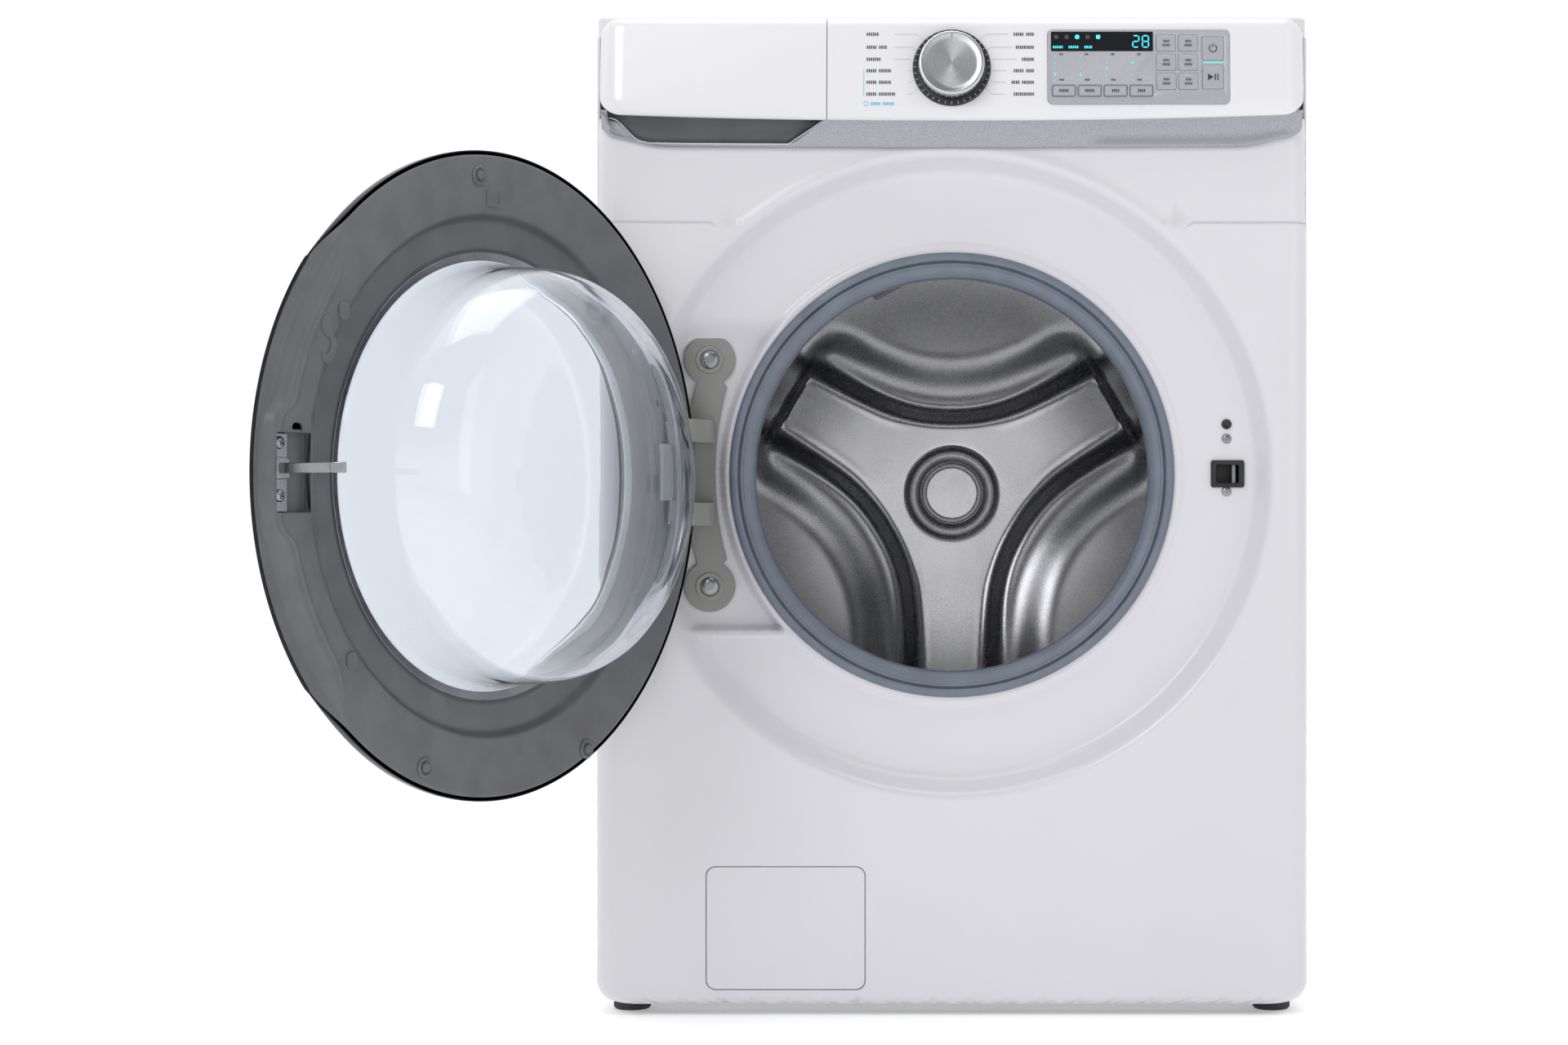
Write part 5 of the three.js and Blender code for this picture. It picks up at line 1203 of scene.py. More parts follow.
# outer cover: gloss black ring whose rim is partly wrapped by the grip
def cover_ring():
    def surface(t, angle):
        hold = grip(angle)
        wall_top = lerp(-24.2, -34.2, hold)
        profile = np.array([(210, -55.6), (222, -53.8), (242, -49.8), (262, -44.6), (274, -40.9),
                            (281, -38.2), (285.4, -35.4), (287.5, -32.0), (288, -30), (288, -28)])
        spots_on = np.linspace(0, 1, len(profile))
        r = np.interp(t, spots_on, profile[:, 0])
        y = np.interp(t, spots_on, profile[:, 1])
        y = np.where(t > 0.72, lerp(np.interp(0.72, spots_on, profile[:, 1]), wall_top,
                                    (t - 0.72) / 0.28), y)
        return np.stack([r * np.cos(angle), y, r * np.sin(angle)], axis=1)

    stops = np.concatenate([np.linspace(0, 0.6, 14), np.linspace(0.62, 1, 22)])
    turns = 300
    grid = [(t, 2 * math.pi * k / turns) for t in stops for k in range(turns)]
    quads = []
    for j in range(len(stops) - 1):
        for k in range(turns):
            n = (k + 1) % turns
            quads.append([j * turns + k, (j + 1) * turns + k, (j + 1) * turns + n,
                          j * turns + n])
    return skin(surface, grid, quads, 1.0)


cover_shape, cover_normals = cover_ring()
cover = made("door_cover_ring", cover_shape, DOOR_ROUND, black_gloss, "door",
             normals=cover_normals)
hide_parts("door_cover")
# pressed lining between the cover and the glass, seen as a dark tube round the window
lining = rounded([(211, -53, 1), (205, -50, 2), (199.5, -36, 3), (199.5, -31, 1), (203, -31, 1),
                  (203, -36, 2), (209, -50, 1)], 1, 4)
made("door_window_lining", turned(lining, 160), DOOR_ROUND, door_plastic, "door", 50)
window_profile = rounded([(0.01, -60, 0), (110, -59.4, 40), (170, -57.7, 30), (210.5, -55.4, 0),
                          (210.5, -53.2, 0), (170, -55.5, 30), (110, -57.2, 40),
                          (0.01, -57.8, 0)], 1, 6)
made("door_outer_window", turned(window_profile, 160), DOOR_ROUND, window_acrylic,
     "door", 60)
trim_ring = rounded([(207.5, -56.6), (212.5, -55.9), (212.8, -54.0), (207.3, -54.6)], 0.8, 3)
made("door_window_trim", turned(trim_ring, 160), DOOR_ROUND, silver_lacquer, "door", 60)


# bowl: thick clear glass, deeper towards the hinge, with a soft crease down its face
def bowl():
    outline = np.array([(206, -34.4), (194, -34.0), (189.5, -27), (186.5, -12), (184, 8),
                        (182.6, 28), (178.5, 50), (170, 66), (155, 77.5), (130, 84), (90, 87),
                        (45, 88.3), (0.5, 88.6)])

    def smooth_profile(t):
        t = np.clip(t, 0, 1) * (len(outline) - 1)
        k = np.clip(np.floor(t).astype(int), 0, len(outline) - 2)
        f = (t - k)[:, None]
        p0 = outline[np.maximum(k - 1, 0)]
        p1, p2 = outline[k], outline[k + 1]
        p3 = outline[np.minimum(k + 2, len(outline) - 1)]
        return 0.5 * (2 * p1 + (p2 - p0) * f + (2 * p0 - 5 * p1 + 4 * p2 - p3) * f ** 2
                      + (3 * p1 - p0 - 3 * p2 + p3) * f ** 3)

    def outside(t, angle):
        profile = smooth_profile(t)
        r, y = profile[:, 0], profile[:, 1]
        x, z = r * np.cos(angle), r * np.sin(angle)
        deep = step((y - 10) / 60)
        crease = 30 * np.sin(z / 95) - 8
        y = y - deep * 3.0 * step((x - crease) / 110)
        y = y - deep * 0.012 * (z + 30)
        low_wave = step((-z - 95) / 60) * deep
        y = y + low_wave * 0.6 * np.sin(x / 16)
        return np.stack([x, y, z], axis=1)

    def inside(t, angle):
        points = outside(t, angle)
        r = np.hypot(points[:, 0], points[:, 2])
        side = step((150 - r) / 60)
        shrink = 1 - (6.0 * (1 - 0.3 * side)) / np.maximum(r, 60)
        y = points[:, 1] - lerp(1.5, 6.5, step((points[:, 1] + 30) / 90))
        z = points[:, 2]
        wave = step((-z - 80) / 60) * step((y - 5) / 50)
        y = y - wave * 0.5 * (1 + np.sin(points[:, 0] / 18 + 1))
        return np.stack([points[:, 0] * shrink, y, points[:, 2] * shrink], axis=1)

    turns = 240
    stops = np.linspace(0, 1, 90)
    points, faces = [], []
    for sheet, flip in ((outside, False), (inside, True)):
        start = len(points)
        for t in stops:
            ring = sheet(np.full(turns, t), np.linspace(0, 2 * math.pi, turns, endpoint=False))
            points += [tuple(p) for p in ring]
        for j in range(len(stops) - 1):
            for k in range(turns):
                n = (k + 1) % turns
                quad = [start + j * turns + k, start + (j + 1) * turns + k,
                        start + (j + 1) * turns + n, start + j * turns + n]
                faces.append(quad[::-1] if flip else quad)
        last = start + (len(stops) - 1) * turns
        faces.append([last + k for k in (range(turns) if not flip else reversed(range(turns)))])
    second = len(stops) * turns
    for k in range(turns):
        n = (k + 1) % turns
        faces.append([k, n, second + n, second + k])
    return points, faces


glass = made("door_bowl", bowl(), DOOR_ROUND, bowl_glass, "door", 60)
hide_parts("door_glass")
clamp = rounded([(196.2, -30.6), (198.4, -29.9), (198.4, -31.6), (192.4, -33.4), (190.6, -31.8)],
                0.6, 3)
made("bowl_clamp_ring", turned(clamp, 200), DOOR_ROUND, bright_steel, "door", 60)

# ---------------------------------------------------------------- hinge and lock

BRACKET_X, BRACKET_MID = -235, 521
bracket_outline = []
for k in range(-12, 13):
    a = math.radians(90 + k * 150 / 12 * 1.0)
    bracket_outline.append((BRACKET_X + 25 * math.cos(a), BRACKET_MID + 110 + 25 * math.sin(a)))
upper = bracket_outline
lower = [(x, 2 * BRACKET_MID - z) for x, z in reversed(upper)]
left_waist = [(BRACKET_X - 19.5, BRACKET_MID + 62), (BRACKET_X - 19.5, BRACKET_MID - 62)]
right_waist = []
for t in np.linspace(0.0, 1.0, 15):
    z = lerp(BRACKET_MID - 84.0, BRACKET_MID + 84.0, t)
    pull = math.cos((t - 0.5) * math.pi)
    right_waist.append((BRACKET_X + 17 - 11.5 * pull ** 0.8, z))
bracket = made("hinge_plate", prism(upper + left_waist + lower + right_waist, 32.7, 36.7), CABINET,
               hinge_paint, "cabinet")
edged(bracket, 1.4, 3, 35)
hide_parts("hinge_bracket")
neck = [(4, 8), (15.5, 27), (16.5, 31), (13, 49.2), (27, 49.2), (27, 43.2), (24, 28), (12, 4),
        (6, -4)]
for k, side in enumerate((-1, 1)):
    middle = BRACKET_MID + side * 40
    arm = made(f"hinge_neck_{k}", along_z(rounded([(hinge.x + a, hinge.y + b, 3) for a, b in neck],
               3, 3), middle - 11, middle + 11), CABINET, hinge_paint, "cabinet")
    edged(arm, 1.2, 3, 35)
    knuckle = along_z(round_rect(hinge.x - 6.6, hinge.x + 6.6, hinge.y - 6.6, hinge.y + 6.6, 6.55),
                      middle - 11, middle + 11)
    edged(made(f"hinge_knuckle_{k}", knuckle, CABINET, hinge_paint, "cabinet"), 0.8, 2, 40)
made("hinge_pin", along_z(round_rect(hinge.x - 3, hinge.x + 3, hinge.y - 3, hinge.y + 3, 2.95),
     BRACKET_MID - 53, BRACKET_MID + 53), CABINET, chrome, "cabinet")
for k, z in enumerate((BRACKET_MID - 110, BRACKET_MID + 110)):
    cup_rim = [(8.6, 33.4), (13.6, 32.9), (13.6, 31.6), (12.2, 31.0), (9.4, 31.4)]
    made(f"hinge_screw_cup_{k}", turned(rounded(cup_rim, 0.6, 3), 48, BRACKET_X, z), CABINET,
         hinge_paint, "cabinet", 50)
screws("hinge_screws", [(BRACKET_X, 32.4, BRACKET_MID - 110), (BRACKET_X, 32.4,
       BRACKET_MID + 110)], CABINET, bright_steel, "cabinet", 8.6, 3.0, 2.0, 0.25)
arm_low, arm_high = BRACKET_MID - 28.2, BRACKET_MID + 28.2
door_knuckle = made("door_knuckle", along_z(round_rect(hinge.x - 6.6, hinge.x + 6.6,
                    hinge.y - 6.6, hinge.y + 6.6, 6.55), arm_low, arm_high), DOOR, hinge_paint,
                    "door")
edged(door_knuckle, 0.8, 2, 40)
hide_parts("door_hinge_arm")
web = rounded([(hinge.x - 5, hinge.y + 2, 1), (hinge.x - 9, -22.8, 0), (hinge.x + 26, -22.8, 0),
               (hinge.x + 26, -18.8, 1.5), (hinge.x + 6, hinge.y + 3, 2)], 1, 3)
edged(made("door_hinge_web", along_z(web, arm_low, arm_high), DOOR, hinge_paint, "door"), 0.8, 2)

LOCK_X, LOCK_Z = 266.5, 520
bezel = made("lock_bezel", prism(round_rect(LOCK_X - 16.2, LOCK_X + 16.2, LOCK_Z - 13.2,
             LOCK_Z + 13.2, 2.5), 19.2, 26), CABINET, black_plastic, "cabinet")
carved(bezel, [made("hole", prism(round_rect(LOCK_X - 11, LOCK_X + 11, LOCK_Z - 8.75,
               LOCK_Z + 8.75, 1.5), 0, 40), CABINET, black_plastic, None)])
edged(bezel, 0.9, 3)
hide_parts("door_lock")
lock_case = made("lock_case", box((LOCK_X - 22, LOCK_X + 21), (25.3, 56.3), (492, 548)), CABINET,
                 black_plastic, "cabinet")
carved(lock_case, [made("hole", prism(round_rect(LOCK_X - 11, LOCK_X + 11, LOCK_Z - 8.75,
                   LOCK_Z + 8.75, 1.5), 0, 50.3), CABINET, black_plastic, None)])
made("lock_slider", box((LOCK_X + 5, LOCK_X + 8.4), (30, 49), (LOCK_Z - 8.7, LOCK_Z + 8.7)),
     CABINET, bright_steel, "cabinet")
screws("lock_screws", [(LOCK_X - 1, 21.8, 554), (LOCK_X - 1, 21.8, 503)], CABINET, zinc_steel,
       "cabinet", 4.6, 2.4, 1.4, 0.3)
plug_profile = rounded([(0.01, 22.2), (4.9, 22.2), (4.9, 20.6), (4.2, 19.6), (1.4, 20.4),
                        (0.01, 20.6)], 0.5, 3)
made("lock_blank_plug", turned(plug_profile, 32, LOCK_X - 1, 568), CABINET, black_plastic,
     "cabinet", 50)

# ---------------------------------------------------------------- console

CONSOLE_HALF = 337.5
CONSOLE_TOP = 957
CONSOLE_BACK = 24.7
FACE_FOOT = -26.0
LIP_BACK = -15.5
JOINT_X = -119
SLOPE = math.tan(FACE_TILT)


def lip_line(x):
    """Height of the console's lower edge: a shallow smile."""
    near_end = abs(x) / CONSOLE_HALF
    return 856 + 6.5 * near_end ** 2.2


def console_ring(x):
    """Cross-section of the console at x, as a closed ring of points."""
    end = max(0.0, abs(x) - (CONSOLE_HALF - 24)) / 24
    plan = 24 * (1 - math.sqrt(max(0.0, 1 - end * end)))
    lift = max(0.0, abs(x) - (CONSOLE_HALF - 20)) / 20
    lower = max(0.0, abs(x) - (CONSOLE_HALF - 22)) / 22
    top = CONSOLE_TOP - 20 * (1 - math.sqrt(max(0.0, 1 - lift * lift)))
    lip = lip_line(x) + 20 * (1 - math.sqrt(max(0.0, 1 - lower * lower)))
    foot = lip + 12
    base = [(CONSOLE_BACK, 957, 0), (-1, 957, 6), (-12.5, 954.5, 7),
            (FACE_FOOT + 80 * SLOPE, 948, 6), (FACE_FOOT + 14 * SLOPE, 882, 6),
            (FACE_FOOT, 868, 5), (FACE_FOOT + 1.6, 859.5, 2.5),
            (FACE_FOOT + 4.2, 856, 2), (LIP_BACK, 856.3, 1), (LIP_BACK, 866, 1),
            (CONSOLE_BACK, 866, 0)]
    ring = []
    for y, z in rounded(base, 1, 5):
        part = (z - 856) / (957 - 856)
        height = lip + part * (top - lip)
        if z <= 868:
            height = lip + (z - 856) * (foot - lip) / 12
        behind = (CONSOLE_BACK - y) / (CONSOLE_BACK - FACE_FOOT)
        ring.append((x, y + plan * behind, min(height, top)))
    return ring


def end_stations(x0, x1):
    """Places along the console, close together where its ends are rounded."""
    left = [-CONSOLE_HALF + 24 * (1 - math.cos(a)) for a in np.linspace(0.04, math.pi / 2, 14)]
    places = left + list(np.linspace(-312, 312, 40)) + [-p for p in reversed(left)]
    return [x0] * (x0 > -330) + [p for p in places if x0 + 0.5 < p < x1 - 0.5] + [x1] * (x1 < 330)


panel = made("console_housing", swept([console_ring(x) for x in end_stations(JOINT_X + 0.35,
             CONSOLE_HALF)]), CABINET, white_abs, "cabinet", 30)
seat = made("seat", prism(round_rect(91.2, 264.8, 2.7, 76.3, 5.8), -6, 1.4), CONSOLE_FACE,
            white_abs, None)
well = made("well", box((94.5, 261.5), (-6, 10), (8, 73)), CONSOLE_FACE, white_abs, None)
knob_well = made("knob_well", turned([(0, -5), (5, -5), (5, 16), (0, 16)], 32, 0, 38.5),
                 CONSOLE_FACE, white_abs, None)
carved(panel, [seat, well, knob_well])
edged(panel, 0.5, 2, 45)
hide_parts("console_panel")
drawer_face = made("drawer_face", swept([console_ring(x) for x in end_stations(-CONSOLE_HALF,
                   JOINT_X - 0.35)]), CABINET, white_abs, "drawer", 30)
back_room = made("room", box((-312, JOINT_X - 4), (-7, 40), (872, 944)), CABINET, white_abs, None)
carved(drawer_face, [back_room])
edged(drawer_face, 0.5, 2, 45)
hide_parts("drawer_front")


def band_bottom(x):
    """Lower edge of the silver band."""
    near_end = abs(x) / CONSOLE_HALF
    rise = 1.6 * near_end ** 2 + 9.5 * step(np.array((near_end - 0.8) / 0.2)).item()
    corner = max(0.0, abs(x) - (CONSOLE_HALF - 14)) / 14
    return 832 + rise + 16 * (1 - math.sqrt(max(0.0, 1 - corner * corner)))


def band_ring(x):
    """Section of the band: a bevel that leans back, hollowed out at its right-hand end."""
    low = band_bottom(x)
    high = lip_line(x) + 5
    crease = 124.0
    dip = 0.0
    if x > crease:
        dip = 3.2 * step(np.array((x - crease) / 26)).item() * (1 - step(np.array(
            (x - 316) / 18)).item())
    base = [(-0.3, low + 0.4), (-3.4, low), (-5.2, low + 1.4)]
    middle = [(lerp(-5.6, -14.6, t) + dip * math.sin(math.pi * min(1, t * 1.15)),
               lerp(low + 3, high - 3, t)) for t in np.linspace(0, 1, 7)]
    end = [(-14.9, high), (-0.3, high)]
    return [(x, y, z) for y, z in base + middle + end]


band_places = sorted(set([-335.5, -334, -331, -327, -322] + list(np.linspace(-316, 316, 60))
                         + [118, 121, 124, 127, 130, 134, 138, 142, 146, 150]
                         + [322, 327, 331, 334, 335.5]))
band = made("console_trim_band", swept([band_ring(x) for x in band_places]), CABINET,
            silver_lacquer, "cabinet", 40)
handle_hole = [(-329.7, 876), (-329.0, 858.5), (-322.5, 846.5), (-301, 839.2), (-292, 837.6),
               (-159.5, 834.8), (-150.5, 837.2), (-120.5, 858.5), (-119.8, 876)]
carved(band, [made("hole", prism(rounded(handle_hole, 4, 4), -60, -2.2), CABINET, silver_lacquer,
                   None)])
edged(band, 0.4, 2, 45)
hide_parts("console_band")


# recess of the drawer's handle, dark and hollow, with its bright trim line
def recess_sheet():
    rings = []
    for x in np.linspace(-329.4, -120, 60):
        low = 835.0 + 1.5 * (abs(x) / CONSOLE_HALF) ** 2
        if x < -292:
            low = lerp(837.4, 858, step(np.array((-292 - x) / 37)).item())
        if x > -160:
            low = lerp(834.9, 858.0, min(1, (x + 160) / 40))
        high = lip_line(x) + 7
        section = []
        for t in np.linspace(0, 1, 12):
            z = lerp(low + 0.6, high, t)
            bow = math.sin(math.pi * t) ** 0.7
            section.append((x, lerp(-5.6, -12.6, t) + 7.0 * bow * (1 - 0.3 * t), z))
        section += [(x, -2.5, high), (x, -2.5, low + 0.6)]
        rings.append(section)
    return swept(rings)


recess = made("drawer_handle_recess", recess_sheet(), CABINET, handle_plastic, "drawer", 45)
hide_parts("drawer_handle")


def ribbon(path, width, depth):
    """A thin strip along a path of (x, y, z) points, as wide as given upright."""
    rings = []
    for x, y, z in path:
        rings.append([(x, y, z - width / 2), (x, y - depth, z - width / 2 + 0.2),
                      (x, y - depth, z + width / 2 - 0.2), (x, y, z + width / 2)])
    return swept(rings)


trim_path = []
for x in np.linspace(-328.6, -157, 50):
    low = 834.9 + 1.5 * (abs(x) / CONSOLE_HALF) ** 2
    if x < -292:
        low = lerp(837.3, 860, step(np.array((-292 - x) / 38)).item())
    trim_path.append((x, -4.2, low + 0.4))
for t in np.linspace(0.05, 1, 14):
    trim_path.append((lerp(-157, -121, t), lerp(-4.2, -11.5, t), lerp(835.2, 858.5, t)))
edged(made("drawer_trim_line", ribbon(trim_path, 1.7, 2.0), CABINET, chrome, "drawer", 50), 0.3, 2)

# ---------------------------------------------------------------- controls

KNOB_V = 38.5
KNOB = CONSOLE_FACE @ moved(0, 0, KNOB_V)
knob_profile = rounded([(0, -19.6, 0), (24.0, -20.0, 5), (28.6, -20.9, 1), (30.6, -20.6, 1.2),
                        (31.2, -18.6, 1), (32, -1.2, 0.6), (30, -0.6, 0.5), (4, -0.6, 0),
                        (4, 13.8, 0), (0, 13.8, 0)], 1, 5)


def spun(name, profile, steps, place, finish, body):
    """A turned piece with a UV map that follows its brush marks: U round it, V across."""
    obj = made(name, turned(profile, steps), place, finish, body, 30)
    mesh = obj.data
    back = place.inverted()
    layer = mesh.uv_layers.new(name="round")
    for face in mesh.polygons:
        middle = back @ face.center
        base = math.atan2(middle.x, middle.z)
        for loop in face.loop_indices:
            point = back @ mesh.vertices[mesh.loops[loop].vertex_index].co
            r = math.hypot(point.x, point.z)
            turn = math.atan2(point.x, point.z) if r > 0.05 else base
            turn = base + math.remainder(turn - base, 2 * math.pi)
            layer.data[loop].uv = (turn * 0.03, r * 0.001)
    return obj


knob_face = spun("cycle_knob_cap", knob_profile, 96, KNOB, spun_aluminium, "knob")
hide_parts("cycle_knob")
ring_profile = rounded([(32.8, -0.3), (37.4, -0.3), (37.0, -3.0), (36.0, -4.3), (32.8, -4.3)], 0.5)
base_ring = made("knob_base_ring", turned(ring_profile, 96), KNOB, black_plastic, "cabinet", 40)
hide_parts("knob_ring")
repeated("knob_ring_ticks", ring_of_bars, {"Count": 36, "Radius": 35.2, "Middle":
         (0.0, -4.3, 0.0), "Bar": (2.6, 0.3, 0.7)}, KNOB, cap_steel, "cabinet")
made("knob_pointer", prism(round_rect(-0.6, 0.6, 24.0, 29.6, 0.5), -21.5, -20.4), KNOB, pale_ink,
     "knob")

plate_outline = round_rect(91.5, 264.5, 3, 76, 5.5)
PANEL_FRONT = -1.4


def key_layout():
    keys = {}
    for i, name in enumerate(("key_temperature", "key_rinse", "key_spin", "key_soil")):
        keys[name] = (91.5 + 4 + 11.2 + i * 24.6, 16, 22.4, 11.2)
    side = (("key_pre_soak", "key_delay_end"), ("key_fast_wash", "key_alarm_off"),
            ("key_self_check", "key_remote"))
    for r, row in enumerate(side):
        for c, name in enumerate(row):
            keys[name] = (91.5 + 103.6 + 9.2 + c * 21, 76 - 13.4 - r * 18.7, 18.4, 15.6)
    for i, name in enumerate(("key_power", "key_start")):
        keys[name] = (264.5 - 15.6, 76 - 18.6 - i * 28, 20, 23)
    return keys


panel_plate = made("control_plate", prism(plate_outline, PANEL_FRONT, 1.3), CONSOLE_FACE,
                   panel_lacquer, "cabinet")
holes = [made("hole", prism(round_rect(x - w / 2 - 0.3, x + w / 2 + 0.3, v - h / 2 - 0.3,
         v + h / 2 + 0.3, 1.8, 3), -5, 5), CONSOLE_FACE, panel_lacquer, None)
         for x, v, w, h in key_layout().values()]
carved(panel_plate, holes)
edged(panel_plate, 0.35, 2, 45)
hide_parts("display_plate")
rim = made("control_plate_rim", prism(round_rect(90.9, 265.1, 2.4, 76.6, 6.0), -1.0, 1.2),
           CONSOLE_FACE, chrome, "cabinet")
carved(rim, [made("hole", prism(round_rect(91.6, 264.4, 3.1, 75.9, 5.4), -5, 5), CONSOLE_FACE,
                  chrome, None)])
edged(rim, 0.2, 2)
for name, (x, v, w, h) in key_layout().items():
    cap = made(f"{name}_cap", prism(round_rect(x - w / 2, x + w / 2, v - h / 2, v + h / 2, 1.6, 4),
               PANEL_FRONT - 0.25, 4.6), CONSOLE_FACE, key_lacquer, name)
    edged(cap, 0.3, 2)
    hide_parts(name)

FRONT = PANEL_FRONT - 0.1


def flat_mark(name, outline, place, finish, body, front=FRONT, thick=0.25):
    """A thin printed or inlaid shape standing just proud of the surface."""
    return made(name, prism(outline, front - thick, front + 0.3), place, finish, body, 30)


def frame_mark(name, x, v, w, h, line, finish, body, front):
    """A rounded outline of the given line width."""
    outer = round_rect(x - w / 2, x + w / 2, v - h / 2, v + h / 2, 1.4, 4)
    inner = round_rect(x - w / 2 + line, x + w / 2 - line, v - h / 2 + line, v + h / 2 - line,
                       1.1, 4)
    count = len(outer)
    points = [(a, y, b) for y in (front - 0.15, front + 0.2) for a, b in outer + inner]
    faces = []
    for i in range(count):
        j = (i + 1) % count
        faces += [[i, j, count + j, count + i],
                  [2 * count + i, 3 * count + i, 3 * count + j, 2 * count + j],
                  [i, 2 * count + i, 2 * count + j, j],
                  [count + i, count + j, 3 * count + j, 3 * count + i]]
    return made(name, (points, faces), CONSOLE_FACE, finish, body, 30)


flat_mark("display_window", round_rect(94.5, 191.8, 54.5, 73.6, 1.2), CONSOLE_FACE, display_black,
          "cabinet")
GLOW = FRONT - 0.28
SEGMENTS = {"a": (0, 1, "h"), "b": (1, 0.5, "v"), "c": (1, -0.5, "v"), "d": (0, -1, "h"),
            "e": (-1, -0.5, "v"), "f": (-1, 0.5, "v"), "g": (0, 0, "h")}
for place_x, lit in ((175.4, "abged"), (184.6, "abcdefg")):
    for letter in lit:
        dx, dz, way = SEGMENTS[letter]
        w, h = (4.2, 1.1) if way == "h" else (1.1, 4.6)
        cx, cz = place_x + dx * 2.9 * (way == "v"), 64.0 + dz * (5.6 if way == "h" else 5.4)
        flat_mark(f"digit_{int(place_x)}_{letter}", round_rect(cx - w / 2, cx + w / 2, cz - h / 2,
                  cz + h / 2, 0.4, 2), CONSOLE_FACE, cyan_lamp, "cabinet", GLOW)
for i, x in enumerate((99.5, 109.5, 119.5, 129.5, 139.5)):
    finish = cyan_lamp if i in (2, 4) else grey_ink
    sign = [(x - 2, 66.4), (x + 2, 66.4), (x + 2, 70.4), (x - 2, 70.4)]
    flat_mark(f"display_icon_{i}", rounded(sign, 1.4, 3), CONSOLE_FACE, finish, "cabinet", GLOW)
for i, (x, count) in enumerate(((97, 5), (112, 5), (127, 4))):
    repeated(f"display_stage_{i}", row_of_bars, {"Count": count, "Start": (float(x), GLOW - 0.1,
             58.5), "Pitch": (2.0, 0.0, 0.0), "Bar": (1.2, 0.2, 2.4)}, CONSOLE_FACE, cyan_lamp,
             "cabinet")

for c, x in enumerate((98.4, 122.6, 147.5, 172.4)):
    for r, v in enumerate((49.4, 43.3, 37.8, 31.8, 26.2)):
        lit = (r, c) in ((3, 0), (3, 1), (2, 2), (1, 3))
        flat_mark(f"level_lamp_{c}_{r}", round_rect(x - 0.8, x + 0.8, v - 1.2, v + 1.2, 0.7, 2),
                  CONSOLE_FACE, cyan_lamp if lit else dim_lamp, "cabinet")
    label_row(f"level_label_top_{c}", CONSOLE_FACE, dark_ink, x + 4.0, 51.5, (3,), 1.9,
              FRONT - 0.1)
    label_row(f"level_label_low_{c}", CONSOLE_FACE, dark_ink, x + 4.0, 26.6, (4,), 1.9,
              FRONT - 0.1)
KEY_FRONT = PANEL_FRONT - 0.35
key_words = {"key_temperature": (5,), "key_rinse": (5,), "key_spin": (4,), "key_soil": (4,)}
for name, (x, v, w, h) in key_layout().items():
    if name in key_words:
        frame_mark(f"{name}_outline", x, v, w - 0.8, h - 0.8, 0.45, grey_ink, name, KEY_FRONT)
    if name in ("key_power", "key_start"):
        continue
    rows = ((0.0, key_words[name][0]),) if name in key_words else ((1.8, 4), (-2.2, 5))
    for i, (dv, count) in enumerate(rows):
        tall = 3.0 if name in key_words else 2.4
        pitch = tall * 0.62
        repeated(f"{name}_mark_{i}", row_of_bars, {"Count": count, "Start": (
            x - pitch * (count - 1) / 2, KEY_FRONT - 0.05, v + dv), "Pitch": (pitch, 0.0, 0.0),
            "Bar": (pitch * 0.6, 0.14, tall)}, CONSOLE_FACE, dark_ink, name)
    if name not in key_words:
        flat_mark(f"{name}_lamp", round_rect(x - 3.4, x + 3.4, v + h / 2 - 2.2, v + h / 2 - 1.2,
                  0.4, 2), CONSOLE_FACE, dim_lamp, name, KEY_FRONT)


def arc_mark(name, x, v, radius, wide, first, last, body):
    """Part of a printed circle."""
    angles = np.linspace(math.radians(first), math.radians(last), 28)
    outer = [(x + (radius + wide / 2) * math.sin(a), v + (radius + wide / 2) * math.cos(a))
             for a in angles]
    inner = [(x + (radius - wide / 2) * math.sin(a), v + (radius - wide / 2) * math.cos(a))
             for a in reversed(angles)]
    return flat_mark(name, outer + inner, CONSOLE_FACE, dark_ink, body, KEY_FRONT)


x, v, w, h = key_layout()["key_power"]
arc_mark("power_mark_ring", x, v, 3.6, 0.8, 32, 328, "key_power")
flat_mark("power_mark_bar", round_rect(x - 0.4, x + 0.4, v + 0.8, v + 4.8, 0.35, 2),
          CONSOLE_FACE, dark_ink, "key_power", KEY_FRONT)
flat_mark("power_lamp", round_rect(x - 9, x + 9, v - 14.2, v - 13.4, 0.35, 2), CONSOLE_FACE,
          cyan_lamp, "cabinet")
x, v, w, h = key_layout()["key_start"]
flat_mark("start_mark_triangle", [(x - 5, v - 3.2), (x + 0.4, v), (x - 5, v + 3.2)], CONSOLE_FACE,
          dark_ink, "key_start", KEY_FRONT)
for i, dx in enumerate((2.0, 4.4)):
    flat_mark(f"start_mark_bar_{i}", round_rect(x + dx - 0.5, x + dx + 0.5, v - 3.2, v + 3.2, 0.4,
              2), CONSOLE_FACE, dark_ink, "key_start", KEY_FRONT)

